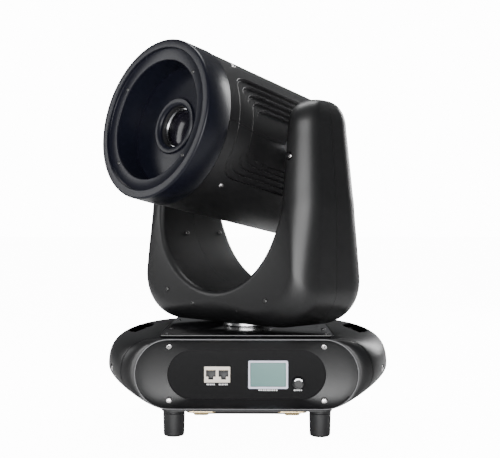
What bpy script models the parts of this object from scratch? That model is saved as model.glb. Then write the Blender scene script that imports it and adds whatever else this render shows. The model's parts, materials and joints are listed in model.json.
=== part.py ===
"""A moving head stage light: a lens-shaped base, a panning yoke and a tilting head.

The origin is on the pan axis, on the underside of the base pan. +Z is up and the front panel
faces -Y. At rest the yoke is panned by PAN_REST and the head is tilted by TILT_REST.
"""

import math

import bmesh
import bpy

# Driving dimensions, in metres.
GAP = 0.0003  # between pieces that touch
WALL = 0.003  # moulded covers
SHEET = 0.002  # pressed plates
STEEL_PLATE = 0.003  # the yoke's and the head's frames

PAN_REST = math.radians(-45)
TILT_REST = math.radians(-11)
TILT_AXIS_HEIGHT = 0.3355

STEPS = 7  # along each quarter of the base's outlines
BASE_HALF_WIDTH = 0.185
BASE_HALF_DEPTH = 0.135
BASE_ROUNDING = 0.135  # depth of the rounding from the middle to the front and the rear
BASE_MIDDLE = 0.0555  # height of the widest line of the base
BASE_TOP = 0.1012
BASE_BOTTOM = 0.0065
UPPER_PULLS = ((0.185, 0.090), (0.167, 0.1012))  # handles of the curve over each end
LOWER_PULLS = ((0.146, 0.028), (0.185, 0.040))  # handles of the curve under each end
PLATE_HALF_WIDTH = 0.106  # the flat middle between the two end shells

FACE_HALF_WIDTH = 0.137
FACE_HALF_HEIGHT = 0.043
FACE_HEIGHT = 0.0535  # centre of the front and rear faces
PANEL_HEIGHT = 0.0515  # centre of the panels
RIM_WIDTH = 0.0025
RIM_SHARE = 0.36  # how far up the rounding the frames reach
SHELL_SHARE = 0.388  # where the end shells take over
DISH_DEPTH = 0.011
PANEL_HALF_WIDTH = 0.0975
PANEL_HALF_HEIGHT = 0.0305
PANEL_LAP = 0.004

FOOT_STAND = 0.0285  # how far the feet stand below the pan
FOOT_RADIUS = 0.014
FOOT_X = 0.0915
FOOT_Y = 0.098
LOCK_X = 0.056
LOCK_INSET = 0.0165  # from the front and the rear of the base
LOCK_HALF_LENGTH = 0.018
LOCK_HALF_WIDTH = 0.0055
LOCK_DEPTH = 0.0052
PAN_INSET = 0.010
PAN_CORNER = 0.012
PLATE_INSET = 0.0045

HANDLE_X = 0.1445
HANDLE_HALF_LENGTH = 0.064
HANDLE_HALF_WIDTH = 0.0165
HANDLE_BAR_HALF_WIDTH = 0.0055
HANDLE_BAR_DROP = 0.009  # from the top of the posts to the grip
HANDLE_CLEARANCE = 0.0015  # between the posts and the shell

DISPLAY_X = 0.0265
DISPLAY_HALF_WIDTH = 0.0245
DISPLAY_HALF_HEIGHT = 0.0173
DISPLAY_RIM = 0.0026
DISPLAY_FRAME_HEIGHT = 0.0018
SCREEN_STAND = 0.001  # how far the screen stands in front of the panel
NETWORK_X = -0.0362
NETWORK_HALF_WIDTH = 0.016
NETWORK_HALF_HEIGHT = 0.0098
KNOB_X = 0.0632
KNOB_HEIGHT = 0.0423
KNOB_RADIUS = 0.0072
KNOB_LENGTH = 0.011
KNOB_TRAVEL = 0.0015
KNOB_SHAFT_RADIUS = 0.003
BOARD_DISTANCE = 0.012  # control board behind the panel
BOARD_HALF_HEIGHT = 0.030
SUPPLY_HEIGHT = 0.042
POWER_X = -0.050
DMX_X = 0.030
DMX_PITCH = 0.036
DMX_RADIUS = 0.0118
DMX_WALL = 0.0022
DMX_FLANGE = 0.003
INLET_HALF_WIDTH = 0.014
INLET_HALF_HEIGHT = 0.010
INLET_WALL = 0.0025
INLET_DEPTH = 0.022

PAN_POST_RADIUS = 0.018
PAN_POST_BORE = 0.013
PAN_POST_TOP = 0.1335
COLLAR_RADIUS = 0.033
PAN_BEARING_RADIUS = 0.026
PULLEY_WIDTH = 0.009
BELT_THICKNESS = 0.0012
PAN_PULLEY_RADIUS = 0.040
PAN_MOTOR_PULLEY_RADIUS = 0.008
PAN_BELT_HEIGHT = 0.121
MOTOR_HALF_SIZE = 0.021
PAN_MOTOR_LENGTH = 0.034
MOTOR_SHAFT_RADIUS = 0.0025

YOKE_BOTTOM = 0.106
YOKE_HALF_WIDTH = 0.158
YOKE_TOP_HALF_WIDTH = 0.149
YOKE_HALF_DEPTH = 0.066
YOKE_ARM_HALF_DEPTH = 0.046  # at the top of the arms
YOKE_FLARE_START = 0.130  # height below which the yoke has its full depth
YOKE_TOP = 0.393
YOKE_DOME = 0.036
YOKE_CORNER_WIDTH = 0.065
YOKE_CORNER_HEIGHT = 0.050
YOKE_INNER_ROUND = 0.008
YOKE_OUTER_ROUND = 0.034
THROAT_RADIUS = 0.1135
THROAT_HEIGHT = 0.2635  # centre of the throat's arc
YOKE_FRAME_HALF_DEPTH = 0.030
YOKE_FRAME_TOP = 0.3555

TRUNNION_RADIUS = 0.014
TILT_BEARING_RADIUS = 0.0185
TILT_PULLEY_RADIUS = 0.020
TILT_MOTOR_PULLEY_RADIUS = 0.005
TILT_BELT_OFFSET = 0.1385  # of the belt's near side from the pan axis
TILT_PULLEY_WIDTH = 0.007
TILT_MOTOR_HEIGHT = 0.232
TILT_MOTOR_LENGTH = 0.017

HEAD_RADIUS = 0.1015
HEAD_REAR_RADIUS = 0.0975
HOOD_RADIUS = 0.1028
HOOD_FRONT = 0.1685  # distances along the head are from the tilt axis
HOOD_BACK = 0.131
HOOD_STEP_RADIUS = 0.0908
HOOD_STEP = 0.0045
HOOD_BORE_RADIUS = 0.0760
HEAD_SHELL_BACK = -0.085
HEAD_BACK = -0.111
HEAD_BACK_BEND = 0.014
SLOT_PITCH = 0.012
SLOT_HALF_WIDTH = 0.003
SLOT_HALF_LENGTH = 0.040
TERRACES = 5
TERRACE_DEPTH = 0.0032
TERRACE_RISE = 0.0008  # length of each riser along the head
TERRACE_FRONT = 0.115
TERRACE_PITCH = 0.011
TERRACE_HALF_HEIGHT = 0.064
TERRACE_SHRINK = 0.006

BAFFLE_THICKNESS = 0.002
BOSS_RADIUS = 0.036
BOSS_HEIGHT = 0.003
LENS_RADIUS = 0.0230
LENS_THICKNESS = 0.007
TUBE_RADIUS = 0.0295
TUBE_WALL = 0.0022
TUBE_BACK = 0.060
CARRIAGE_FRONT = 0.124
CARRIAGE_LENGTH = 0.012
CHASSIS_RADIUS = 0.0715
CHASSIS_HALF_WIDTH = 0.068
CHASSIS_HALF_HEIGHT = 0.028
CHASSIS_FRONT = 0.090
BULKHEAD_FRONT = 0.033
BULKHEAD_REAR = -0.030
LIGHT_PATH_RADIUS = 0.016
WHEEL_RADIUS = 0.040
WHEEL_OFFSET = 0.030
WHEEL_THICKNESS = 0.0015
COLOR_WHEEL_PLACE = 0.0235
GOBO_WHEEL_PLACE = 0.0155
FILTER_RADIUS = 0.0085
WHEEL_MOTOR_RADIUS = 0.0122
WHEEL_MOTOR_LENGTH = 0.018
LAMP_HALF_SIZE = 0.040
LAMP_LENGTH = 0.040
FAN_HALF_SIZE = 0.040
FAN_DEPTH = 0.020
FAN_ROTOR_RADIUS = 0.0362
FAN_HUB_RADIUS = 0.015
FAN_BLADES = 7


def clear_scene():
    for obj in list(bpy.data.objects):
        bpy.data.objects.remove(obj, do_unlink=True)


def material(name, colour, roughness=0.5, metallic=0.0):
    made = bpy.data.materials.get(name)
    if made is None:
        made = bpy.data.materials.new(name)
        made.use_nodes = True
        shader = made.node_tree.nodes["Principled BSDF"]
        shader.inputs["Base Color"].default_value = (*colour, 1.0)
        shader.inputs["Roughness"].default_value = roughness
        shader.inputs["Metallic"].default_value = metallic
    return made


def black_plastic():
    return material("black_plastic", (0.02, 0.02, 0.021), 0.35)


def gloss_black():
    return material("gloss_black", (0.006, 0.006, 0.007), 0.12)


def hood_black():
    return material("hood_black", (0.022, 0.022, 0.028), 0.45)


def black_metal():
    return material("black_metal", (0.03, 0.03, 0.03), 0.4, 0.6)


def rubber():
    return material("rubber", (0.015, 0.015, 0.015), 0.8)


def steel():
    return material("steel", (0.55, 0.55, 0.56), 0.35, 1.0)


def chrome():
    return material("chrome", (0.8, 0.8, 0.8), 0.1, 1.0)


def zinc():
    return material("yellow_zinc", (0.72, 0.58, 0.3), 0.35, 1.0)


def aluminium():
    return material("aluminium", (0.7, 0.7, 0.72), 0.4, 1.0)


def circuit_board():
    return material("circuit_board", (0.02, 0.16, 0.07), 0.5)


def ivory_plastic():
    return material("ivory_plastic", (0.8, 0.76, 0.68), 0.4)


def lavender_plastic():
    return material("lavender_plastic", (0.72, 0.72, 0.82), 0.4)


def display_glass():
    return material("display_glass", (0.26, 0.40, 0.37), 0.2)


def lens_glass():
    return material("lens_glass", (0.02, 0.02, 0.03), 0.03)


def solid(name, points, faces, finish, parent, smooth):
    """An object from points and faces, with its faces turned outwards."""
    mesh = bpy.data.meshes.new(name)
    build = bmesh.new()
    corners = [build.verts.new(p) for p in points]
    for face in faces:
        build.faces.new([corners[i] for i in face])
    bmesh.ops.recalc_face_normals(build, faces=build.faces)
    build.to_mesh(mesh)
    build.free()
    if smooth:
        mesh.shade_smooth()
        mesh.set_sharp_from_angle(angle=math.radians(35))
    obj = bpy.data.objects.new(name, mesh)
    bpy.context.scene.collection.objects.link(obj)
    mesh.materials.append(finish)
    obj.parent = parent
    return obj


def loft(name, rings, finish, parent=None, closed=False, smooth=True):
    """A skin over rings of equal length: capped at both ends or, if closed, joined into a loop."""
    count = len(rings[0])
    points = [p for ring in rings for p in ring]
    faces = []
    for k in range(len(rings) if closed else len(rings) - 1):
        a = k * count
        b = (k + 1) % len(rings) * count
        for i in range(count):
            j = (i + 1) % count
            faces.append((a + i, a + j, b + j, b + i))
    if not closed:
        faces.append(tuple(range(count)))
        faces.append(tuple(range(len(points) - count, len(points))))
    return solid(name, points, faces, finish, parent, smooth)


def sheet_loft(name, outer, inner, finish, parent=None, capped=(False, False)):
    """A thick sheet between two grids of points, station by station.

    A capped end is closed across both grids, and any other edge is joined from grid to grid.
    """
    count = len(outer[0])
    stations = len(outer)
    points = [p for row in outer for p in row] + [p for row in inner for p in row]
    far = stations * count

    faces = []
    for k in range(stations - 1):
        a = k * count
        b = a + count
        for i in range(count - 1):
            faces.append((a + i, a + i + 1, b + i + 1, b + i))
            faces.append((far + a + i, far + a + i + 1, far + b + i + 1, far + b + i))
        faces.append((a, b, far + b, far + a))
        faces.append((a + count - 1, b + count - 1, far + b + count - 1, far + a + count - 1))
    for end, is_capped in zip((0, (stations - 1) * count), capped):
        last = end + count - 1
        if is_capped:
            faces.append(tuple(range(end, last + 1)))
            faces.append(tuple(range(far + end, far + last + 1)))
            faces.append((end, last, far + last, far + end))
        else:
            for i in range(end, last):
                faces.append((i, i + 1, far + i + 1, far + i))
    return solid(name, points, faces, finish, parent, True)


def turned(name, profile, finish, parent=None, segments=28):
    """A body turned about Z from a closed profile of (radius, height) that stays off the axis."""
    rings = []
    for k in range(segments):
        angle = 2 * math.pi * k / segments
        rings.append([(r * math.cos(angle), r * math.sin(angle), h) for r, h in profile])
    return loft(name, rings, finish, parent, closed=True)


def tube(name, inner, outer, bottom, top, finish, parent=None, segments=22):
    profile = [(inner, bottom), (outer, bottom), (outer, top), (inner, top)]
    return turned(name, profile, finish, parent, segments)


def stacked(name, profile, finish, parent=None, segments=20):
    """A body turned about Z from (radius, height) stations, with a flat cap at each end."""
    rings = [[(*p, h) for p in circle(r, segments)] for r, h in profile]
    return loft(name, rings, finish, parent)


def prism(name, outline, bottom, top, finish, parent=None, smooth=False):
    """An outline of (x, y) points raised from bottom to top along Z."""
    rings = [[(x, y, bottom) for x, y in outline], [(x, y, top) for x, y in outline]]
    return loft(name, rings, finish, parent, smooth=smooth)


def box(name, low, high, finish, parent=None):
    outline = [(low[0], low[1]), (high[0], low[1]), (high[0], high[1]), (low[0], high[1])]
    return prism(name, outline, low[2], high[2], finish, parent)


def arc(centre, radius, start, end, segments):
    """Points along an arc, both ends included. A pair of radii makes it elliptical."""
    wide, high = radius if isinstance(radius, tuple) else (radius, radius)
    turns = [start + (end - start) * k / segments for k in range(segments + 1)]
    return [(centre[0] + wide * math.cos(t), centre[1] + high * math.sin(t)) for t in turns]


def circle(radius, segments, centre=(0, 0)):
    return arc(centre, radius, 0, 2 * math.pi, segments)[:-1]


def rounded_rectangle(half_width, half_height, radius, segments=4, centre=(0, 0)):
    points = []
    for k, (sx, sy) in enumerate(((1, 1), (-1, 1), (-1, -1), (1, -1))):
        corner = (centre[0] + sx * (half_width - radius), centre[1] + sy * (half_height - radius))
        points += arc(corner, radius, k * math.pi / 2, (k + 1) * math.pi / 2, segments)
    return points


def bezier(start, handle_a, handle_b, end, segments):
    points = []
    for k in range(segments + 1):
        t = k / segments
        weights = ((1 - t) ** 3, 3 * (1 - t) ** 2 * t, 3 * (1 - t) * t * t, t**3)
        corners = (start, handle_a, handle_b, end)
        points.append(tuple(sum(w * c[i] for w, c in zip(weights, corners)) for i in (0, 1)))
    return points


def cut(obj, cutter, operation="DIFFERENCE"):
    """A Boolean of obj with a cutter, which isn't rendered."""
    modifier = obj.modifiers.new(cutter.name, "BOOLEAN")
    modifier.operation = operation
    modifier.object = cutter
    modifier.solver = "EXACT"
    cutter.hide_render = True
    cutter.display_type = "WIRE"
    return obj


def facing_front(obj, distance=0.0, x=0.0, z=0.0):
    """Turns a body made along +Z so that it runs along -Y from a plane at Y = -distance."""
    obj.rotation_euler = (math.pi / 2, 0, 0)
    obj.location = (x, -distance, z)
    return obj


def facing_side(obj, side=1, z=0.0):
    """Turns a body made along +Z so that it runs along +X, or along -X for side -1."""
    obj.rotation_euler = (0, side * math.pi / 2, 0)
    obj.location = (0, 0, z)
    return obj


def empty(name, location=(0, 0, 0), rotation=(0, 0, 0), parent=None):
    obj = bpy.data.objects.new(name, None)
    bpy.context.scene.collection.objects.link(obj)
    obj.location = location
    obj.rotation_euler = rotation
    obj.parent = parent
    return obj


def belt(name, small, large, distance, width, finish, parent):
    """A belt from a small pulley at the origin to a large one at +X, raised along Z."""
    lean = math.asin((large - small) / distance)
    quarter = math.pi / 2
    loops = []
    for radius in (GAP, GAP + BELT_THICKNESS):
        near = arc((0, 0), small + radius, quarter + lean, 3 * quarter - lean, 6)
        far = arc((distance, 0), large + radius, -quarter - lean, quarter + lean, 18)
        loops.append(near + far)
    rings = []
    for inside, outside in zip(*loops):
        rings.append([(*inside, 0), (*outside, 0), (*outside, width), (*inside, width)])
    return loft(name, rings, finish, parent, closed=True, smooth=False)


# Base: outlines are (x, z) pairs seen from the front.


def base_outline():
    """The lens-shaped outline of the base, from its right tip over the top and round."""
    tip = (BASE_HALF_WIDTH, BASE_MIDDLE)
    upper = bezier(tip, *UPPER_PULLS, (PLATE_HALF_WIDTH, BASE_TOP), STEPS)
    lower = bezier((PLATE_HALF_WIDTH, BASE_BOTTOM), *LOWER_PULLS, tip, STEPS)
    left_upper = [(-x, z) for x, z in reversed(upper)]
    left_lower = [(-x, z) for x, z in reversed(lower)]
    return upper + left_upper + left_lower[1:] + lower[:-1]


def stadium(half_width, half_height, height=FACE_HEIGHT):
    """A stadium with as many points as the base's outline, in the same order."""
    centre = half_width - half_height
    quarter = math.pi / 2
    right = (centre, height)
    left = (-centre, height)
    upper = arc(right, half_height, 0, quarter, STEPS) + arc(left, half_height, quarter, 2 * quarter, STEPS)
    lower = arc(left, half_height, 2 * quarter, 3 * quarter, STEPS)[1:]
    lower += arc(right, half_height, 3 * quarter, 4 * quarter, STEPS)[:-1]
    return upper + lower


def between(start, end, share):
    return [(a + (c - a) * share, b + (d - b) * share) for (a, b), (c, d) in zip(start, end)]


def rounding_distance(share):
    """Distance from the pan axis of the base's rounding, where it has grown by this share."""
    return BASE_HALF_DEPTH - BASE_ROUNDING * (1 - math.sqrt(1 - share * share))


def base_section(share):
    return between(stadium(FACE_HALF_WIDTH, FACE_HALF_HEIGHT), base_outline(), share)


def end_band(section, inset, count=15):
    """The part of a section beyond the middle plates, evenly spaced, moved inwards by inset."""
    limit = PLATE_HALF_WIDTH + GAP
    quarter = len(section) // 4
    side = section[-quarter:] + section[: quarter + 1]
    curve = [p for p in side if p[0] > limit]
    first = side.index(curve[0])
    last = side.index(curve[-1])
    for end, inside, outside in ((0, first - 1, first), (len(curve) + 1, last + 1, last)):
        (a, b), (c, d) = side[max(inside, 0)], side[outside]
        share = (limit - a) / (c - a)
        curve.insert(end, (limit, b + (d - b) * share))

    lengths = [0.0]
    for a, b in zip(curve, curve[1:]):
        lengths.append(lengths[-1] + math.dist(a, b))
    spaced = []
    for k in range(count):
        target = lengths[-1] * k / (count - 1)
        i = max(j for j in range(len(curve) - 1) if lengths[j] <= target + 1e-9)
        share = (target - lengths[i]) / (lengths[i + 1] - lengths[i])
        (a, b), (c, d) = curve[i], curve[i + 1]
        spaced.append((a + (c - a) * share, b + (d - b) * share))

    moved = []
    for k, (x, z) in enumerate(spaced):
        before = spaced[max(k - 1, 0)]
        after = spaced[min(k + 1, count - 1)]
        length = math.dist(before, after)
        dx, dz = (after[0] - before[0]) / length, (after[1] - before[1]) / length
        inwards = x - dz * inset if 0 < k < count - 1 else x
        moved.append((inwards, z + dx * inset))
    return moved


def outline_height(x, share):
    """Height at x of the base's upper skin, in the section of this share."""
    upper = base_section(share)[: STEPS + 1]
    for (a, b), (c, d) in zip(upper, upper[1:]):
        if c <= x <= a:
            return d + (b - d) * (x - c) / (a - c)
    return BASE_TOP


def end_shell(name, side):
    """The moulded shell at one end of the base, with an eye-shaped opening over its handle."""
    stations = []
    for share in (SHELL_SHARE, 0.62, 0.82, 0.95, 1.0):
        stations.append((-rounding_distance(share), share))
    stations += [(-y, share) for y, share in reversed(stations[:-1])]
    outer = []
    inner = []
    for y, share in stations:
        section = base_section(share)
        outer.append([(side * x, y, z) for x, z in end_band(section, 0)])
        shift = math.copysign((1 - share) / (1 - SHELL_SHARE) * WALL, -y)
        inner.append([(side * x, y + shift, z) for x, z in end_band(section, WALL)])
    shell = sheet_loft(name, outer, inner, black_plastic())

    quarter = math.pi / 2
    lean = 2 * math.atan(HANDLE_HALF_WIDTH / HANDLE_HALF_LENGTH)
    bow = HANDLE_HALF_LENGTH / math.sin(lean)
    reach = bow - HANDLE_HALF_WIDTH
    centre = side * HANDLE_X
    eye = arc((centre - reach, 0), bow, -lean, lean, 10)[:-1]
    eye += arc((centre + reach, 0), bow, 2 * quarter - lean, 2 * quarter + lean, 10)[:-1]
    opening = prism(name + "_opening", eye, BASE_TOP - 0.020, BASE_TOP + 0.010, rubber())
    return cut(shell, opening)


def handle(name, side):
    """A grip bar under the opening, hung from the end shell by a post at each end."""
    inner_x = HANDLE_X - HANDLE_BAR_HALF_WIDTH
    outer_x = HANDLE_X + HANDLE_BAR_HALF_WIDTH
    post = HANDLE_HALF_LENGTH + 2 * HANDLE_BAR_HALF_WIDTH
    inwards = (post + BASE_ROUNDING - BASE_HALF_DEPTH) / BASE_ROUNDING
    top = outline_height(outer_x, math.sqrt(1 - inwards**2)) - WALL - HANDLE_CLEARANCE
    grip_top = top - HANDLE_BAR_DROP
    grip_bottom = grip_top - 2 * HANDLE_BAR_HALF_WIDTH
    half = [(post, top), (post, grip_bottom)]
    inside = [(HANDLE_HALF_LENGTH, top), (HANDLE_HALF_LENGTH, grip_top)]
    outline = half + [(-y, z) for y, z in reversed(half)]
    outline += [(-y, z) for y, z in inside] + list(reversed(inside))
    rings = [[(side * x, y, z) for y, z in outline] for x in (inner_x, outer_x)]
    return loft(name, rings, black_metal(), smooth=False)


def face_frame(name, side):
    """The rim and the dished bezel round the front panel (side 1) or the rear panel (side -1)."""
    rim = stadium(FACE_HALF_WIDTH, FACE_HALF_HEIGHT)
    rim_inner = stadium(FACE_HALF_WIDTH - RIM_WIDTH, FACE_HALF_HEIGHT - RIM_WIDTH)
    lip = stadium(PANEL_HALF_WIDTH, PANEL_HALF_HEIGHT, PANEL_HEIGHT)
    profile = [
        (base_section(RIM_SHARE), rounding_distance(RIM_SHARE) - 0.0008),
        (base_section(RIM_SHARE), rounding_distance(RIM_SHARE)),
        (base_section(RIM_SHARE / 2), rounding_distance(RIM_SHARE / 2)),
        (rim, BASE_HALF_DEPTH),
        (rim_inner, BASE_HALF_DEPTH),
    ]
    for step in (0.12, 0.35, 0.68, 1.0):
        depth = BASE_HALF_DEPTH - DISH_DEPTH * step**0.7
        profile.append((between(rim_inner, lip, step), depth))
    profile.append((lip, panel_distance() + GAP))
    profile.append((between(rim_inner, lip, 0.01), BASE_HALF_DEPTH - 0.005))
    rings = [[(x, -side * y, z) for x, z in section] for section, y in profile]
    return loft(name, rings, black_plastic(), closed=True)


def panel_distance():
    """Distance of the panels' outer faces from the pan axis."""
    return BASE_HALF_DEPTH - DISH_DEPTH - SHEET - GAP


def panel(name, side):
    outline = stadium(PANEL_HALF_WIDTH + PANEL_LAP, PANEL_HALF_HEIGHT + PANEL_LAP, PANEL_HEIGHT)
    faces = (side * panel_distance(), side * (panel_distance() - SHEET))
    rings = [[(x, -y, z) for x, z in outline] for y in faces]
    return loft(name, rings, gloss_black(), smooth=False)


def panel_hole(name, side, outline):
    """A cutter through a panel for an outline of (x, z) points."""
    rings = [[(x, -side * y, z) for x, z in outline] for y in (0.100, 0.150)]
    return loft(name, rings, rubber(), smooth=False)


def front_panel():
    made = panel("front_panel", 1)
    display = rounded_rectangle(
        DISPLAY_HALF_WIDTH - DISPLAY_RIM,
        DISPLAY_HALF_HEIGHT - DISPLAY_RIM,
        0.001,
        centre=(DISPLAY_X, PANEL_HEIGHT),
    )
    network = rounded_rectangle(
        NETWORK_HALF_WIDTH + GAP, NETWORK_HALF_HEIGHT + GAP, 0.0005, centre=(NETWORK_X, PANEL_HEIGHT)
    )
    shaft = circle(KNOB_SHAFT_RADIUS + GAP, 24, (KNOB_X, KNOB_HEIGHT))
    for name, outline in (("display", display), ("network", network), ("shaft", shaft)):
        cut(made, panel_hole(name + "_hole", 1, outline))


def xlr_centres():
    return [(DMX_X + k * DMX_PITCH, PANEL_HEIGHT) for k in (0, 1)]


def rear_panel():
    made = panel("rear_panel", -1)
    wide = INLET_HALF_WIDTH + GAP
    high = INLET_HALF_HEIGHT + GAP
    inlet = rounded_rectangle(wide, high, 0.001, centre=(POWER_X, PANEL_HEIGHT))
    cut(made, panel_hole("inlet_hole", -1, inlet))
    for k, centre in enumerate(xlr_centres()):
        cut(made, panel_hole(f"xlr_hole_{k}", -1, circle(DMX_RADIUS + GAP, 20, centre)))


def display():
    """A framed graphic display: the frame lies on the panel and the screen stands in its hole."""
    front = panel_distance() + GAP
    outer = rounded_rectangle(DISPLAY_HALF_WIDTH, DISPLAY_HALF_HEIGHT, 0.002)
    inner_width = DISPLAY_HALF_WIDTH - DISPLAY_RIM
    inner_height = DISPLAY_HALF_HEIGHT - DISPLAY_RIM
    inner = rounded_rectangle(inner_width, inner_height, 0.001)
    rings = []
    for (a, b), (c, d) in zip(outer, inner):
        top = DISPLAY_FRAME_HEIGHT
        rings.append([(a, b, 0), (a, b, top), (c, d, top), (c, d, 0)])
    frame = loft("display_frame", rings, lavender_plastic(), closed=True, smooth=False)
    facing_front(frame, front, DISPLAY_X, PANEL_HEIGHT)

    outline = rounded_rectangle(inner_width - GAP, inner_height - GAP, 0.001)
    bottom = GAP - BOARD_DISTANCE
    screen = prism("display_screen", outline, bottom, SCREEN_STAND, display_glass())
    facing_front(screen, front - GAP, DISPLAY_X, PANEL_HEIGHT)


def network_sockets():
    """A double network socket: a keyed opening in front of each of its two chambers."""
    outline = rounded_rectangle(NETWORK_HALF_WIDTH, NETWORK_HALF_HEIGHT, 0.0005)
    block = prism("network_sockets", outline, GAP - BOARD_DISTANCE, 0.0012, ivory_plastic())
    facing_front(block, panel_distance(), NETWORK_X, PANEL_HEIGHT)
    for k, x in enumerate((-0.0078, 0.0078)):
        chamber = [(-0.006, 0.0055), (-0.006, -0.0025), (-0.003, -0.0025), (-0.003, -0.0060)]
        chamber += [(-a, b) for a, b in reversed(chamber)]
        plug = prism(f"chamber_{k}", [(x + a, b) for a, b in chamber], -0.0095, 0.005, rubber())
        cut(block, facing_front(plug, panel_distance(), NETWORK_X, PANEL_HEIGHT))


def menu_controls():
    """A push-and-turn menu knob on its shaft."""
    spin = empty("encoder_axis", (KNOB_X, -panel_distance(), KNOB_HEIGHT))
    back = GAP - BOARD_DISTANCE
    shaft_end = KNOB_LENGTH - 0.002
    shaft = cylinder_along(KNOB_SHAFT_RADIUS, back, shaft_end, "encoder_shaft", steel(), spin)
    facing_front(shaft)

    start = KNOB_TRAVEL + 0.001
    front = start + KNOB_LENGTH
    bore = KNOB_SHAFT_RADIUS + GAP
    profile = [(bore, shaft_end + KNOB_TRAVEL + GAP), (bore, start), (KNOB_RADIUS, start)]
    profile += [(KNOB_RADIUS, front - 0.001), (KNOB_RADIUS - 0.001, front)]
    knob = stacked("menu_knob", profile, black_plastic(), spin, 28)
    facing_front(knob)


def cylinder_along(radius, bottom, top, name, finish, parent=None, segments=24):
    return stacked(name, [(radius, bottom), (radius, top)], finish, parent, segments)


def rear_sockets():
    """A mains inlet and two round data sockets in the rear panel."""
    wide = INLET_HALF_WIDTH
    high = INLET_HALF_HEIGHT
    inlet = box("power_inlet", (-wide, -high, -INLET_DEPTH), (wide, high, 0.002), black_plastic())
    facing_back(inlet, POWER_X)
    wide -= INLET_WALL
    high -= INLET_WALL
    floor = 0.006 - INLET_DEPTH
    hollow = box("inlet_hollow", (-wide, -high, floor), (wide, high, 0.004), rubber())
    cut(inlet, facing_back(hollow, POWER_X))
    for name, (x, z) in zip(("dmx_socket_in", "dmx_socket_out"), xlr_centres()):
        bore = DMX_RADIUS - DMX_WALL
        flange = DMX_RADIUS + DMX_FLANGE
        profile = [(bore, -0.012), (bore, 0.002), (flange, 0.002)]
        profile += [(flange, GAP), (DMX_RADIUS, GAP), (DMX_RADIUS, -0.020)]
        facing_back(stacked(name, profile, black_metal()), x)


def facing_back(obj, x):
    """Turns a body made along +Z so that it runs along +Y from the rear panel."""
    obj.rotation_euler = (-math.pi / 2, 0, 0)
    obj.location = (x, panel_distance(), PANEL_HEIGHT)
    return obj


def bottom_pan():
    """A pressed pan: a flange under the frames and a shallow tray below it."""
    flange = BASE_BOTTOM
    half_depth = BASE_HALF_DEPTH - PAN_INSET
    half_width = PLATE_HALF_WIDTH - GAP
    tray = FOOT_X - FOOT_RADIUS - 0.001
    profile = [
        (tray - 0.006, half_depth - 0.019, 0.0),
        (tray, half_depth - 0.014, flange),
        (half_width, half_depth, flange),
        (half_width, half_depth, flange + SHEET),
        (tray - 0.001, half_depth - 0.015, flange + SHEET),
        (tray - 0.007, half_depth - 0.020, SHEET),
    ]
    rings = []
    for wide, deep, z in profile:
        rings.append([(x, y, z) for x, y in rounded_rectangle(wide, deep, PAN_CORNER)])
    loft("base_bottom_pan", rings, black_metal(), smooth=False)


def top_plate():
    half_depth = BASE_HALF_DEPTH - PLATE_INSET
    half_width = PLATE_HALF_WIDTH - GAP
    low = (-half_width, -half_depth, BASE_TOP - SHEET)
    plate = box("base_top_plate", low, (half_width, half_depth, BASE_TOP), gloss_black())
    hole = cylinder_along(PAN_POST_RADIUS + GAP, BASE_TOP - 0.01, BASE_TOP + 0.01, "post_hole", rubber())
    cut(plate, hole)


def feet():
    for depth, y in (("front", -FOOT_Y), ("rear", FOOT_Y)):
        for side, x in (("left", -FOOT_X), ("right", FOOT_X)):
            profile = [
                (FOOT_RADIUS - 0.0035, -FOOT_STAND),
                (FOOT_RADIUS - 0.0012, -FOOT_STAND + 0.0016),
                (FOOT_RADIUS - 0.0008, -FOOT_STAND + 0.004),
                (FOOT_RADIUS, BASE_BOTTOM - GAP),
            ]
            foot = stacked(f"foot_{depth}_{side}", profile, rubber())
            foot.location = (x, y, 0)


def bracket_locks():
    """Quarter-turn receptacles for clamp brackets, under the pan's flange."""
    for depth, y in (("front", -1), ("rear", 1)):
        for side, x in (("left", -1), ("right", 1)):
            outline = rounded_rectangle(LOCK_HALF_LENGTH, LOCK_HALF_WIDTH, LOCK_HALF_WIDTH - GAP)
            profile = [
                (1.0, BASE_BOTTOM - GAP),
                (1.0, BASE_BOTTOM - 0.0020),
                (0.55, BASE_BOTTOM - 0.0022),
                (0.45, BASE_BOTTOM - LOCK_DEPTH),
            ]
            rings = [[(a * s, b * s, z) for a, b in outline] for s, z in profile]
            lock = loft(f"bracket_lock_{depth}_{side}", rings, zinc(), smooth=False)
            lock.location = (x * LOCK_X, y * (BASE_HALF_DEPTH - LOCK_INSET), 0)


def base_electronics():
    low = (-0.060, -0.080, SHEET + GAP)
    box("power_supply", low, (0.060, 0.060, SHEET + SUPPLY_HEIGHT), aluminium())
    board_front = panel_distance() - BOARD_DISTANCE
    low = (-0.070, -board_front, PANEL_HEIGHT - BOARD_HALF_HEIGHT)
    high = (0.075, -board_front + 0.0016, PANEL_HEIGHT + BOARD_HALF_HEIGHT)
    box("control_board", low, high, circuit_board())


def pan_axle():
    """The fixed hollow post that the yoke turns on, its chrome collar and its belt pulley."""
    tube("pan_post", PAN_POST_BORE, PAN_POST_RADIUS, BASE_TOP - 0.030, PAN_POST_TOP, steel())
    collar_top = YOKE_BOTTOM - 0.0005
    tube("pan_collar", PAN_POST_RADIUS + GAP, COLLAR_RADIUS, BASE_TOP + GAP, collar_top, chrome())
    bottom = PAN_BELT_HEIGHT
    top = bottom + PULLEY_WIDTH
    tube("pan_pulley", PAN_POST_RADIUS + GAP, PAN_PULLEY_RADIUS, bottom, top, aluminium())


# Yoke: its local X is the tilt axis and its local -Y is the way the head faces when level.


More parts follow.
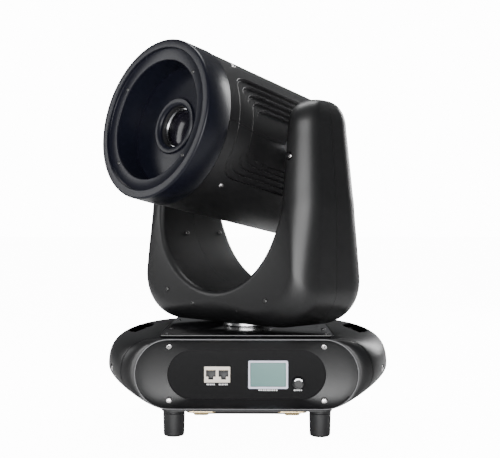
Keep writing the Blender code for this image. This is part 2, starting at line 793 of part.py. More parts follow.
def yoke_stations(inset):
    """Inner and outer ends of each section of the right half of the yoke, in (x, z)."""
    quarter = math.pi / 2
    side = YOKE_HALF_WIDTH - inset
    corner_width = YOKE_CORNER_WIDTH - inset
    corner_height = YOKE_CORNER_HEIGHT - inset
    corner = (side - corner_width, YOKE_BOTTOM + YOKE_CORNER_HEIGHT)
    outer = [(corner[0] * k / 3, YOKE_BOTTOM + inset) for k in range(3)]
    outer += arc(corner, (corner_width, corner_height), -quarter, 0, 5)
    outer += [(side, corner[1] + (THROAT_HEIGHT - corner[1]) * k / 3) for k in (1, 2, 3)]
    count = len(outer) - 1
    throat = THROAT_RADIUS + inset
    centre = (0, THROAT_HEIGHT)
    stations = list(zip(arc(centre, throat, -quarter, 0, count), outer))
    arm_top = YOKE_TOP - YOKE_DOME
    for k in (1, 2):
        share = k / 2
        z = THROAT_HEIGHT + (arm_top - THROAT_HEIGHT) * share
        lean = (YOKE_HALF_WIDTH - YOKE_TOP_HALF_WIDTH) * share
        stations.append(((throat, z), (side - lean, z)))
    return stations


def yoke_half_depth(z):
    """Half-depth of the yoke at a height: deeper at the bottom than at the top of the arms."""
    tall = YOKE_TOP - YOKE_DOME - YOKE_FLARE_START
    share = min(max((z - YOKE_FLARE_START) / tall, 0), 1)
    return YOKE_HALF_DEPTH + (YOKE_ARM_HALF_DEPTH - YOKE_HALF_DEPTH) * share**1.3


def half_section(inner, outer, half_depth, inset, shrink=1.0):
    """Half of a section of the yoke, as (x, y, z) with y from the parting plane to -half_depth."""
    length = math.dist(inner, outer)
    quarter = math.pi / 2
    inner_round = YOKE_INNER_ROUND - inset
    outer_round = YOKE_OUTER_ROUND - inset
    depth = half_depth - inset
    curve = [(0, GAP / 2)]
    curve += arc((inner_round, depth - inner_round), inner_round, 2 * quarter, quarter, 2)
    curve += arc((length - outer_round, depth - outer_round), outer_round, quarter, 0, 5)
    curve.append((length, GAP / 2))
    ux, uz = (outer[0] - inner[0]) / length, (outer[1] - inner[1]) / length
    middle = length * 0.42
    points = []
    for across, y in curve:
        along = middle + (across - middle) * shrink
        narrowed = max(y * shrink, GAP / 2) if y > GAP else GAP / 2
        points.append((inner[0] + ux * along, -narrowed, inner[1] + uz * along))
    return points


def yoke_skin(inset):
    """A grid over half of the yoke, from the top of one arm to the top of the other."""
    stations = yoke_stations(inset)
    rows = []
    for inner, outer in stations:
        depth = yoke_half_depth((inner[1] + outer[1]) / 2)
        rows.append(half_section(inner, outer, depth, inset))
    inner, outer = stations[-1]
    for degrees in (24, 45, 63, 77, 86):
        angle = math.radians(degrees)
        rise = (YOKE_DOME - inset) * math.sin(angle)
        shrink = math.cos(angle) ** 0.72
        lifted = [(x, z + rise) for x, z in (inner, outer)]
        rows.append(half_section(*lifted, YOKE_ARM_HALF_DEPTH, inset, shrink))
    mirrored = [[(-x, y, z) for x, y, z in row] for row in reversed(rows[1:])]
    return mirrored + rows


def yoke_cover(name, side, yoke):
    """The front (side 1) or the rear (side -1) half of the yoke's moulded cover."""
    grids = []
    for inset in (0, WALL):
        grids.append([[(x, side * y, z) for x, y, z in row] for row in yoke_skin(inset)])
    cover = sheet_loft(name, *grids, black_plastic(), yoke, capped=(True, True))
    reach = YOKE_BOTTOM + WALL + 0.004
    bottom = YOKE_BOTTOM - 0.01
    radius = PAN_BEARING_RADIUS + 0.004
    cut(cover, cylinder_along(radius, bottom, reach, name + "_post", rubber(), yoke, 26))
    half = THROAT_RADIUS + WALL + 0.002
    radius = TRUNNION_RADIUS + 2 * GAP
    axle = cylinder_along(radius, -half, half, name + "_axle", rubber(), yoke)
    cut(cover, facing_side(axle, 1, TILT_AXIS_HEIGHT))
    return cover


def frame_inner():
    """Distance of the yoke frame's arms from the pan axis."""
    return THROAT_RADIUS + WALL + GAP


def yoke_frame(yoke):
    """A bent steel bracket inside the covers, with seats for the pan and tilt bearings."""
    inner = frame_inner()
    outer = inner + STEEL_PLATE
    bottom = YOKE_BOTTOM + WALL + GAP
    bend = YOKE_HALF_WIDTH - YOKE_CORNER_WIDTH - 0.002
    shoulder = 0.016
    slope = STEEL_PLATE * 0.55
    right = [(outer, YOKE_FRAME_TOP), (outer, bottom + shoulder), (bend, bottom)]
    inside = [(bend - slope, bottom + STEEL_PLATE), (inner, bottom + shoulder + slope)]
    inside.append((inner, YOKE_FRAME_TOP))
    outline = right + [(-x, z) for x, z in reversed(right)]
    outline += [(-x, z) for x, z in reversed(inside)] + inside
    depths = (-YOKE_FRAME_HALF_DEPTH, YOKE_FRAME_HALF_DEPTH)
    rings = [[(x, y, z) for x, z in outline] for y in depths]
    frame = loft("yoke_frame", rings, steel(), yoke, smooth=False)
    radius = PAN_BEARING_RADIUS + GAP
    hole = cylinder_along(radius, bottom - 0.01, bottom + 0.01, "pan_seat", rubber(), yoke)
    cut(frame, hole)
    radius = TILT_BEARING_RADIUS + GAP
    seats = cylinder_along(radius, -outer - 0.01, outer + 0.01, "tilt_seats", rubber(), yoke)
    cut(frame, facing_side(seats, 1, TILT_AXIS_HEIGHT))


def motor(name, length, shaft, parent):
    """A stepper motor standing on its front face at the origin, its shaft running down from it."""
    body = rounded_rectangle(MOTOR_HALF_SIZE, MOTOR_HALF_SIZE, 0.004, 3)
    made = prism(name, body, 0, length, black_metal(), parent)
    radius = MOTOR_SHAFT_RADIUS
    spindle = cylinder_along(radius, -shaft, length / 2, name + "_shaft", steel(), parent, 24)
    return cut(made, spindle, "UNION"), spindle


def pan_drive(yoke):
    bearing_bottom = YOKE_BOTTOM + WALL - 0.0005
    bearing_top = bearing_bottom + 0.008
    inner = PAN_POST_RADIUS + GAP
    tube("pan_bearing", inner, PAN_BEARING_RADIUS, bearing_bottom, bearing_top, steel(), yoke)

    place = frame_inner() - GAP - MOTOR_HALF_SIZE
    stand = PULLEY_WIDTH + 0.002
    made = motor("pan_motor", PAN_MOTOR_LENGTH, stand, yoke)
    for obj in made:
        obj.location = (place, 0, PAN_BELT_HEIGHT + stand)
    spin = empty("pan_pulley_axis", (place, 0, PAN_BELT_HEIGHT), parent=yoke)
    bore = MOTOR_SHAFT_RADIUS + GAP
    tube("pan_motor_pulley", bore, PAN_MOTOR_PULLEY_RADIUS, 0, PULLEY_WIDTH, aluminium(), spin)

    width = PULLEY_WIDTH - 0.001
    loop = belt("pan_belt", PAN_MOTOR_PULLEY_RADIUS, PAN_PULLEY_RADIUS, place, width, rubber(), yoke)
    loop.location = (place, 0, PAN_BELT_HEIGHT + 0.0005)
    loop.rotation_euler = (0, 0, math.pi)


def tilt_drive(yoke, head):
    for name, side in (("tilt_bearing_drive", 1), ("tilt_bearing_idle", -1)):
        near = frame_inner()
        ring = tube(
            name, TRUNNION_RADIUS + GAP, TILT_BEARING_RADIUS, near, near + 0.004, steel(), yoke
        )
        facing_side(ring, side, TILT_AXIS_HEIGHT)

    near = frame_inner() + STEEL_PLATE + GAP
    front = near + TILT_MOTOR_LENGTH
    body = rounded_rectangle(MOTOR_HALF_SIZE, MOTOR_HALF_SIZE, 0.004, 3)
    made = prism("tilt_motor", body, near, front, black_metal(), yoke)
    end = TILT_BELT_OFFSET + TILT_PULLEY_WIDTH
    radius = MOTOR_SHAFT_RADIUS
    shaft = cylinder_along(radius, near + 0.005, end, "tilt_motor_shaft", steel(), yoke, 24)
    cut(made, shaft, "UNION")
    for obj in (made, shaft):
        facing_side(obj, 1, TILT_MOTOR_HEIGHT)

    spin = empty("tilt_pulley_axis", (TILT_BELT_OFFSET, 0, TILT_MOTOR_HEIGHT), parent=yoke)
    bore = MOTOR_SHAFT_RADIUS + GAP
    small = tube(
        "tilt_motor_pulley",
        bore,
        TILT_MOTOR_PULLEY_RADIUS,
        0,
        TILT_PULLEY_WIDTH,
        aluminium(),
        spin,
    )
    facing_side(small)
    large = tube(
        "tilt_pulley",
        TRUNNION_RADIUS + GAP,
        TILT_PULLEY_RADIUS,
        TILT_BELT_OFFSET,
        TILT_BELT_OFFSET + TILT_PULLEY_WIDTH,
        aluminium(),
        head,
    )
    facing_side(large)

    distance = TILT_AXIS_HEIGHT - TILT_MOTOR_HEIGHT
    width = TILT_PULLEY_WIDTH - 0.001
    radii = (TILT_MOTOR_PULLEY_RADIUS, TILT_PULLEY_RADIUS)
    loop = belt("tilt_belt", *radii, distance, width, rubber(), yoke)
    loop.rotation_euler = (0, -math.pi / 2, 0)
    loop.location = (TILT_BELT_OFFSET + 0.0005 + width, 0, TILT_MOTOR_HEIGHT)


# Head: its local X is the tilt axis and its local -Y is the way it faces.


def shell_radius(place):
    """Outer radius of the head's covers at a distance along the head."""
    share = (HOOD_BACK - place) / (HOOD_BACK - HEAD_SHELL_BACK)
    return HEAD_RADIUS + (HEAD_REAR_RADIUS - HEAD_RADIUS) * share


def terrace_level(k):
    """Front edge and half-height of the terrace with this number, from 0 outwards in."""
    return TERRACE_FRONT - k * TERRACE_PITCH, TERRACE_HALF_HEIGHT - k * TERRACE_SHRINK


def cover_grid(inset, side):
    """A half-round skin with terraced pockets at both sides of the tilt axis."""
    places = [HOOD_BACK - GAP]
    for k in range(TERRACES):
        edge = terrace_level(k)[0] + inset
        places += [edge + TERRACE_RISE, edge]
    places += [-0.020, HEAD_SHELL_BACK]

    levels = [(lift, TERRACES) for lift in (GAP / 2, 0.015, 0.029)]
    for k in reversed(range(TERRACES)):
        edge = terrace_level(k)[1] + inset
        levels += [(edge, k + 1), (edge + TERRACE_RISE, k)]
    rows = []
    for row, place in enumerate(places):
        radius = shell_radius(place) - inset
        quarter = []
        for lift, level in levels:
            reach = radius - min(row // 2, level) * TERRACE_DEPTH
            quarter.append((math.sqrt(reach * reach - lift * lift), lift))
        start = math.asin(levels[-1][0] / radius)
        crown = arc((0, 0), radius, start, math.pi / 2, 5)[1:]
        quarter += crown
        points = quarter + [(-x, z) for x, z in reversed(quarter[:-1])]
        rows.append([(x, -place, side * z) for x, z in points])
    return rows


def head_cover(name, side, head):
    """The upper (side 1) or the lower (side -1) half of the head's moulded cover."""
    made = sheet_loft(name, cover_grid(0, side), cover_grid(WALL, side), black_plastic(), head)
    radius = TRUNNION_RADIUS + GAP
    axle = cylinder_along(radius, -HEAD_RADIUS, HEAD_RADIUS, name + "_axle", rubber(), head)
    cut(made, facing_side(axle))


def head_hood(head):
    """The round hood in front, stepped inside, with a screw ledge round its bore."""
    chamfer = 0.0012
    profile = [
        (HOOD_BORE_RADIUS, HOOD_BACK),
        (HOOD_RADIUS - chamfer, HOOD_BACK),
        (HOOD_RADIUS, HOOD_BACK + chamfer),
        (HOOD_RADIUS, HOOD_FRONT - 2 * chamfer),
        (HOOD_RADIUS - 2 * chamfer, HOOD_FRONT),
        (HOOD_STEP_RADIUS + chamfer, HOOD_FRONT),
        (HOOD_STEP_RADIUS, HOOD_FRONT - chamfer),
        (HOOD_STEP_RADIUS, HOOD_FRONT - HOOD_STEP),
        (HOOD_BORE_RADIUS + chamfer, HOOD_FRONT - HOOD_STEP),
        (HOOD_BORE_RADIUS, HOOD_FRONT - HOOD_STEP - chamfer),
    ]
    facing_front(turned("head_hood", profile, hood_black(), head, 40))


def head_rear_cover(head):
    """A dished rear cover with cooling slots in its back wall."""
    start = HEAD_SHELL_BACK - GAP
    rim = HEAD_REAR_RADIUS
    bend = HEAD_BACK_BEND
    outside = arc((rim - bend, HEAD_BACK + bend), bend, 0, -math.pi / 2, 3)
    inside = arc((rim - bend, HEAD_BACK + bend), bend - WALL, -math.pi / 2, 0, 3)
    profile = [(rim, start), *outside, *inside, (rim - WALL, start)]
    middle = profile.index(outside[-1]) + 1
    stations = profile[middle:] + profile[:middle]
    made = stacked("head_rear_cover", stations, black_plastic(), head, 36)
    facing_front(made)
    for k in range(-3, 4):
        left = k * SLOT_PITCH - SLOT_HALF_WIDTH
        right = k * SLOT_PITCH + SLOT_HALF_WIDTH
        low = (left, -HEAD_BACK - WALL - 0.002, -SLOT_HALF_LENGTH)
        high = (right, -HEAD_BACK + 0.01, SLOT_HALF_LENGTH)
        slot = box(f"slot_{k + 3}", low, high, rubber())
        slot.parent = head
        cut(made, slot)


def head_chassis(head):
    """Two side plates and two bulkheads, with the trunnions that the head tilts on."""
    back = BULKHEAD_REAR - STEEL_PLATE - LAMP_LENGTH
    wide = CHASSIS_HALF_WIDTH
    high = CHASSIS_HALF_HEIGHT
    low_corner = (-wide, -CHASSIS_FRONT, -high)
    made = box("head_chassis", low_corner, (wide, -back, high), aluminium(), head)
    inner = wide - STEEL_PLATE
    bays = (
        ("front_bay", CHASSIS_FRONT + 0.01, BULKHEAD_FRONT),
        ("wheel_bay", BULKHEAD_FRONT - STEEL_PLATE, BULKHEAD_REAR),
        ("lamp_bay", BULKHEAD_REAR - STEEL_PLATE, back - 0.01),
    )
    for name, front, rear in bays:
        bay = box(name, (-inner, -front, -high - 0.01), (inner, -rear, high + 0.01), rubber(), head)
        cut(made, bay)
    for name, front in (("front_disc", BULKHEAD_FRONT), ("rear_disc", BULKHEAD_REAR)):
        plate = cylinder_along(CHASSIS_RADIUS, front - STEEL_PLATE, front, name, aluminium(), head)
        cut(made, facing_front(plate), "UNION")
    rear = BULKHEAD_REAR - 0.01
    path = cylinder_along(LIGHT_PATH_RADIUS, rear, BULKHEAD_FRONT + 0.01, "light_path", rubber(), head)
    cut(made, facing_front(path))
    for name, lift in (("color_spindle", -WHEEL_OFFSET), ("gobo_spindle", WHEEL_OFFSET)):
        start = BULKHEAD_FRONT - 0.01
        radius = MOTOR_SHAFT_RADIUS + GAP
        hole = cylinder_along(radius, start, BULKHEAD_FRONT + 0.01, name, rubber(), head)
        cut(made, facing_front(hole, z=lift))
    ends = {1: TILT_BELT_OFFSET + TILT_PULLEY_WIDTH + 0.0005, -1: frame_inner() + 0.005}
    for side, end in ends.items():
        stub = cylinder_along(TRUNNION_RADIUS, inner + 0.001, end, f"trunnion_{side + 1}", steel(), head)
        cut(made, facing_side(stub, side), "UNION")


def lens_baffle(head):
    """The dark disc at the bottom of the hood, with a raised boss round the lens."""
    front = HOOD_BACK - GAP
    back = front - BAFFLE_THICKNESS
    outer = HEAD_RADIUS - WALL - 4 * GAP
    bore = TUBE_RADIUS - TUBE_WALL
    profile = [
        (bore, back),
        (outer, back),
        (outer, front),
        (BOSS_RADIUS, front),
        (BOSS_RADIUS - 0.001, front + BOSS_HEIGHT),
        (bore + 0.003, front + BOSS_HEIGHT),
        (bore, front + BOSS_HEIGHT - 0.0015),
    ]
    facing_front(turned("lens_baffle", profile, hood_black(), head, 40))


def optics(head):
    """The lens tube, the focus carriage that slides in it and the front lens."""
    inner = TUBE_RADIUS - TUBE_WALL
    front = HOOD_BACK - BAFFLE_THICKNESS - 2 * GAP
    lens_tube = tube("lens_tube", inner, TUBE_RADIUS, TUBE_BACK, front, black_metal(), head)
    facing_front(lens_tube)
    slide = empty("focus_axis", parent=head)
    back = CARRIAGE_FRONT - CARRIAGE_LENGTH
    ring = tube(
        "focus_carriage", LENS_RADIUS + GAP, inner - GAP, back, CARRIAGE_FRONT, chrome(), slide
    )
    facing_front(ring)
    middle = CARRIAGE_FRONT - LENS_THICKNESS / 2 - 0.001
    stations = []
    for share in (1, 0.9, 0.7, 0.45, 0.15):
        stations.append((LENS_RADIUS * share, middle + LENS_THICKNESS / 2 * (1 - share * share)))
    stations = [(r, 2 * middle - h - 0.0005) for r, h in reversed(stations)] + stations
    facing_front(stacked("front_lens", stations, lens_glass(), slide, 24))


def filter_holes(name, parent, count=8, sides=8):
    """A ring of pins that cut the holes of a wheel."""
    points = []
    faces = []
    for k in range(count):
        angle = 2 * math.pi * k / count
        centre = (WHEEL_OFFSET * math.cos(angle), WHEEL_OFFSET * math.sin(angle))
        start = len(points)
        ring = circle(FILTER_RADIUS, sides, centre)
        points += [(x, y, z) for z in (-0.01, 0.01) for x, y in ring]
        for i in range(sides):
            j = (i + 1) % sides
            faces.append((start + i, start + j, start + sides + j, start + sides + i))
        faces.append(tuple(range(start, start + sides)))
        faces.append(tuple(range(start + sides, start + 2 * sides)))
    return solid(name, points, faces, rubber(), parent, False)


def effect_wheels(head):
    """A colour wheel and a gobo wheel, each on the shaft of its own motor."""
    wheels = (("color", -WHEEL_OFFSET, COLOR_WHEEL_PLACE), ("gobo", WHEEL_OFFSET, GOBO_WHEEL_PLACE))
    for name, lift, place in wheels:
        spin = empty(name + "_wheel_axis", (0, -place, lift), parent=head)
        bore = MOTOR_SHAFT_RADIUS + GAP
        wheel = tube(name + "_wheel", bore, WHEEL_RADIUS, -WHEEL_THICKNESS, 0, aluminium(), spin, 30)
        facing_front(wheel)
        cut(wheel, facing_front(filter_holes(name + "_holes", spin)))
        back = BULKHEAD_FRONT + GAP
        profile = [
            (MOTOR_SHAFT_RADIUS, place - WHEEL_THICKNESS - 0.001),
            (MOTOR_SHAFT_RADIUS, back),
            (WHEEL_MOTOR_RADIUS, back),
            (WHEEL_MOTOR_RADIUS, back + WHEEL_MOTOR_LENGTH),
        ]
        drive = stacked(name + "_wheel_motor", profile, black_metal(), head)
        facing_front(drive, z=lift)


def lamp_and_fan(head):
    """The lamp's housing behind the rear bulkhead and the fan that cools it."""
    front = BULKHEAD_REAR - STEEL_PLATE - GAP
    back = front - LAMP_LENGTH
    half = LAMP_HALF_SIZE
    outline = rounded_rectangle(half, half, 0.004, 3)
    facing_front(prism("lamp_module", outline, back, front, aluminium(), head))

    fan_front = back - GAP
    fan_back = fan_front - FAN_DEPTH
    frame = rounded_rectangle(FAN_HALF_SIZE, FAN_HALF_SIZE, 0.004, 3)
    made = prism("fan_frame", frame, fan_back, fan_front, black_plastic(), head)
    duct = cylinder_along(
        FAN_ROTOR_RADIUS + 0.0013, fan_back - 0.01, fan_front + 0.01, "fan_duct", rubber(), head, 32
    )
    cut(facing_front(made), facing_front(duct))
    hub_bottom = fan_back + 0.003
    boss = cylinder_along(FAN_HUB_RADIUS, fan_back, hub_bottom, "fan_boss", rubber(), head)
    cut(made, facing_front(boss), "UNION")
    for k in range(3):
        strut = box(
            f"fan_strut_{k}", (0, -0.002, fan_back), (FAN_HALF_SIZE - 0.001, 0.002, hub_bottom), rubber()
        )
        strut.parent = head
        strut.rotation_euler = (math.pi / 2, k * 2 * math.pi / 3, 0)
        cut(made, strut, "UNION")

    spin = empty("fan_axis", (0, 0, 0), parent=head)
    bottom = hub_bottom + GAP
    top = fan_front - 0.001
    rings = []
    for step in range(4):
        z = bottom + (top - bottom) * step / 3
        twist = step * 0.18
        ring = []
        for k in range(FAN_BLADES):
            angle = 2 * math.pi * k / FAN_BLADES + twist
            for radius, turn in (
                (FAN_HUB_RADIUS, -0.22),
                (FAN_HUB_RADIUS, -0.06),
                (FAN_ROTOR_RADIUS, -0.03),
                (FAN_ROTOR_RADIUS, 0.03),
                (FAN_HUB_RADIUS, 0.06),
                (FAN_HUB_RADIUS, 0.22),
            ):
                ring.append((radius * math.cos(angle + turn), radius * math.sin(angle + turn), z))
        rings.append(ring)
    facing_front(loft("fan_rotor", rings, black_plastic(), spin, smooth=False))


def build_base():
    bottom_pan()
    top_plate()
    for name, side in (("left", -1), ("right", 1)):
        end_shell(f"base_{name}_shell", side)
        handle(f"{name}_handle", side)
    face_frame("base_front_frame", 1)
    face_frame("base_rear_frame", -1)
    front_panel()
    rear_panel()
    display()
    network_sockets()
    menu_controls()
    rear_sockets()
    feet()
    bracket_locks()
    base_electronics()
    pan_axle()


def build_yoke_and_head():
    yoke = empty("yoke_axis", rotation=(0, 0, PAN_REST))
    head = empty("head_axis", (0, 0, TILT_AXIS_HEIGHT), (TILT_REST, 0, 0), yoke)
    yoke_frame(yoke)
    yoke_cover("yoke_front_cover", 1, yoke)
    yoke_cover("yoke_rear_cover", -1, yoke)
    pan_drive(yoke)
    tilt_drive(yoke, head)
    for name, side in (("upper", 1), ("lower", -1)):
        head_cover(f"head_{name}_cover", side, head)
    head_hood(head)
    head_rear_cover(head)
    head_chassis(head)
    lens_baffle(head)
    optics(head)
    effect_wheels(head)
    lamp_and_fan(head)


clear_scene()
build_base()
build_yoke_and_head()
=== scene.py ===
"""The looks of a moving head stage light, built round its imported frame."""

import json
import math

import bmesh
import bpy
from mathutils import Matrix, Vector


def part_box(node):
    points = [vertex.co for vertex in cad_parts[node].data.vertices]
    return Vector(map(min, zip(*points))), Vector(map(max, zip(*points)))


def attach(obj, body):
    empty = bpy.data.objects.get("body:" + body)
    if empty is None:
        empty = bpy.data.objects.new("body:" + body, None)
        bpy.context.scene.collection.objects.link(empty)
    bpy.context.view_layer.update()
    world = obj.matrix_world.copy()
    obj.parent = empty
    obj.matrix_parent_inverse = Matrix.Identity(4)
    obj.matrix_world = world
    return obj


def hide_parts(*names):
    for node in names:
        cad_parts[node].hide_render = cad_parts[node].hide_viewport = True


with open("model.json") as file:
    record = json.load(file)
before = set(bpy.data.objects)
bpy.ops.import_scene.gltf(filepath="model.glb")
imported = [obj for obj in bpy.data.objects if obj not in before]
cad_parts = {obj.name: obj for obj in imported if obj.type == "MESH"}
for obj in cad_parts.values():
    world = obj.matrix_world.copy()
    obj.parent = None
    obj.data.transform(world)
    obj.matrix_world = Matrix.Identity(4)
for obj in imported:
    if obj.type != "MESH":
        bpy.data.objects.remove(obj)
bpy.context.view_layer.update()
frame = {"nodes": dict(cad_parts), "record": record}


# The stage: a pale floor under the feet, a white surround and soft boxes in front, to the left,
# behind on the right and above. The camera stands level, a little over a metre in front.

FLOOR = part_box("foot_front_left")[0].z
CAMERA_DISTANCE = 1.30
CAMERA_RISE = 0.259
CAMERA_TURN = math.radians(0.8)
LENS = 69.0
STUDIO_SIZE = 30.0
FLOOR_GAP = 0.0002


def add_node(tree, kind, values=None, **settings):
    """A new node with its settings, and then its input values, by name."""
    made = tree.nodes.new(kind)
    for name, value in settings.items():
        setattr(made, name, value)
    for name, value in (values or {}).items():
        made.inputs[name].default_value = value
    return made


def wire(tree, *runs):
    """Links an output to an input for each run of (node, output, node, input)."""
    for source, output, target, entry in runs:
        tree.links.new(source.outputs[output], target.inputs[entry])


def shader_material(name, values):
    """A node material, its tree and its shader, with the shader's own values set."""
    made = bpy.data.materials.new(name)
    made.use_nodes = True
    shader = made.node_tree.nodes["Principled BSDF"]
    for entry, value in values.items():
        shader.inputs[entry].default_value = value
    return made, made.node_tree, shader


def textured(name, colour, rough, metallic=0.0, grain=900.0, bump=0.08, spread=0.06, shine=0.5):
    """A surface whose shade, roughness and height vary with two scales of noise."""
    own = {"Metallic": metallic, "Specular IOR Level": shine}
    made, tree, shader = shader_material(name, own)
    place = add_node(tree, "ShaderNodeTexCoord")
    fine = add_node(tree, "ShaderNodeTexNoise", {"Scale": grain, "Detail": 3.0})
    broad = add_node(tree, "ShaderNodeTexNoise", {"Scale": 14.0, "Detail": 4.0})
    darker = (*[c * 0.85 for c in colour], 1)
    lighter = (*[min(c * 1.15, 1) for c in colour], 1)
    tint = add_node(tree, "ShaderNodeMix", {"A": darker, "B": lighter}, data_type="RGBA")
    limits = {"From Min": 0.3, "From Max": 0.7}
    limits |= {"To Min": max(rough - spread, 0.02), "To Max": rough + spread}
    span = add_node(tree, "ShaderNodeMapRange", limits)
    height = add_node(tree, "ShaderNodeBump", {"Strength": bump, "Distance": 0.0003})
    wire(
        tree,
        (place, "Object", fine, "Vector"),
        (place, "Object", broad, "Vector"),
        (broad, "Fac", tint, "Factor"),
        (tint, "Result", shader, "Base Color"),
        (fine, "Fac", span, "Value"),
        (span, "Result", shader, "Roughness"),
        (fine, "Fac", height, "Height"),
        (height, "Normal", shader, "Normal"),
    )
    return made


def camera_sees(tree, seen, lit, surface):
    """Shows one shader to the camera and lets another one light the object."""
    path = tree.nodes.new("ShaderNodeLightPath")
    either = tree.nodes.new("ShaderNodeMixShader")
    tree.links.new(path.outputs["Is Camera Ray"], either.inputs["Fac"])
    tree.links.new(lit, either.inputs[1])
    tree.links.new(seen, either.inputs[2])
    tree.links.new(either.outputs["Shader"], surface)


def build_stage():
    scene = bpy.context.scene
    build = bmesh.new()
    bmesh.ops.create_grid(build, x_segments=1, y_segments=1, size=STUDIO_SIZE)
    mesh = bpy.data.meshes.new("floor")
    build.to_mesh(mesh)
    build.free()
    floor = bpy.data.objects.new("floor", mesh)
    scene.collection.objects.link(floor)
    floor.location.z = FLOOR - FLOOR_GAP
    paper = textured("pale_floor", (0.93, 0.93, 0.93), 0.55, bump=0.01)
    tree = paper.node_tree
    plain = tree.nodes["Principled BSDF"]
    glow = add_node(tree, "ShaderNodeEmission", {"Strength": 13.0})
    bright = add_node(tree, "ShaderNodeAddShader")
    wire(tree, (plain, "BSDF", bright, 0), (glow, "Emission", bright, 1))
    surface = tree.nodes["Material Output"].inputs["Surface"]
    camera_sees(tree, bright.outputs["Shader"], plain.outputs["BSDF"], surface)
    floor.data.materials.append(paper)

    world = bpy.data.worlds.new("studio")
    world.use_nodes = True
    scene.world = world
    tree = world.node_tree
    white = {"Color": (1, 1, 1, 1), "Strength": 14.0}
    seen = add_node(tree, "ShaderNodeBackground", white)
    lit = add_node(tree, "ShaderNodeBackground", {"Color": (0.95, 0.97, 1, 1), "Strength": 0.16})
    surface = tree.nodes["World Output"].inputs["Surface"]
    camera_sees(tree, seen.outputs["Background"], lit.outputs["Background"], surface)

    boxes = (
        ("front_box", (-0.20, -2.3, 0.45), (0, 0, 0.22), (2.3, 1.1), 92),
        ("left_box", (-1.9, 0.1, 0.80), (0, 0, 0.30), (0.4, 0.9), 8),
        ("right_box", (1.3, 1.4, 0.80), (0, 0, 0.25), (0.5, 1.0), 20),
        ("top_box", (0.0, 0.35, 1.8), (0, 0, 0.2), (1.3, 0.7), 26),
    )
    for name, place, aim, size, power in boxes:
        light = bpy.data.lights.new(name, "AREA")
        light.shape = "RECTANGLE"
        light.size, light.size_y = size
        light.energy = power
        lamp = bpy.data.objects.new(name, light)
        scene.collection.objects.link(lamp)
        lamp.location = place
        direction = Vector(aim) - Vector(place)
        lamp.rotation_euler = direction.to_track_quat("-Z", "Y").to_euler()

    camera = bpy.data.objects.new("camera", bpy.data.cameras.new("camera"))
    scene.collection.objects.link(camera)
    camera.data.lens = LENS
    camera.data.shift_x = 0.004
    across = CAMERA_DISTANCE * math.sin(CAMERA_TURN)
    back = CAMERA_DISTANCE * math.cos(CAMERA_TURN)
    camera.location = (across, -back, FLOOR + CAMERA_RISE)
    camera.rotation_euler = (math.pi / 2, 0, CAMERA_TURN)
    scene.camera = camera


build_stage()


# The inner works: steel, aluminium and copper-green pieces inside the covers. Each keeps the
# frame's solid and takes a finish for its kind.

BLACK = textured("black_satin_plastic", (0.005, 0.005, 0.0055), 0.40, grain=1500, bump=0.05)
GLOSS = textured("black_gloss_panel", (0.003, 0.003, 0.0035), 0.34, grain=700, bump=0.01, shine=0.08)
HOOD = textured("hood_paint", (0.0045, 0.005, 0.0095), 0.32, grain=2200, bump=0.05, shine=0.22)
DARK_METAL = textured("black_powder_coat", (0.016, 0.016, 0.017), 0.45, grain=1800, bump=0.15)
RUBBER = textured("foot_rubber", (0.010, 0.010, 0.011), 0.50, grain=1300, bump=0.1)
STEEL = textured("plain_steel", (0.56, 0.56, 0.57), 0.34, metallic=1.0, grain=500)
ALUMINIUM = textured("milled_aluminium", (0.72, 0.72, 0.74), 0.36, metallic=1.0, grain=420)
CHROME = textured("bright_chrome", (0.86, 0.86, 0.87), 0.28, metallic=1.0, bump=0.01, spread=0.04)
ZINC = textured("yellow_zinc", (0.80, 0.62, 0.33), 0.30, metallic=1.0, grain=350, bump=0.04)
BOARD = textured("green_board", (0.02, 0.15, 0.06), 0.45, grain=260)
IVORY = textured("ivory_plastic", (0.78, 0.70, 0.60), 0.38, grain=1100, bump=0.03)

KINDS = {
    "black_plastic": BLACK,
    "gloss_black": GLOSS,
    "hood_black": HOOD,
    "black_metal": DARK_METAL,
    "rubber": RUBBER,
    "steel": STEEL,
    "chrome": CHROME,
    "yellow_zinc": ZINC,
    "aluminium": ALUMINIUM,
    "circuit_board": BOARD,
    "ivory_plastic": IVORY,
}


def dress(node, finish):
    """Gives a node of the frame one finish."""
    materials = frame["nodes"][node].data.materials
    materials.clear()
    materials.append(finish)


for part in frame["record"]["subparts"]:
    dress(part["node"], KINDS.get(part["material_slot"], GLOSS))


# The base's end shells: thick moulded plastic, screwed to the frames. Each has an eye-shaped
# opening over its grip bar, a fine step beside the face frame and a screw recess at its tip.

WALL = 0.003
BASE_HALF_DEPTH = -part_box("base_front_frame")[0].y
BASE_HALF_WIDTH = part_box("base_right_shell")[1].x
BASE_ROUNDING = 0.135
BASE_MIDDLE = 0.0555
BASE_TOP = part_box("base_top_plate")[1].z
BASE_BOTTOM = 0.0065
PLATE_HALF_WIDTH = 0.106
FACE_HALF_WIDTH = 0.137
FACE_HALF_HEIGHT = 0.043
FACE_HEIGHT = 0.0535
PANEL_HEIGHT = 0.0515
RIM_SHARE = 0.36
SHELL_SHARE = 0.376
STEPS = 30
SEAM = 0.0003
HANDLE_X = 0.1445
HANDLE_HALF_LENGTH = 0.064
HANDLE_HALF_WIDTH = 0.0165
TIP = Vector((0.1703, -0.095, BASE_MIDDLE))
TIP_FACING = Vector((0.944, -0.330, 0))
TIP_DEPTH = 0.002


def arc(centre, radius, start, end, segments):
    """Points along an arc, both ends included. A pair of radii makes it elliptical."""
    wide, high = radius if isinstance(radius, tuple) else (radius, radius)
    turns = [start + (end - start) * k / segments for k in range(segments + 1)]
    return [(centre[0] + wide * math.cos(t), centre[1] + high * math.sin(t)) for t in turns]


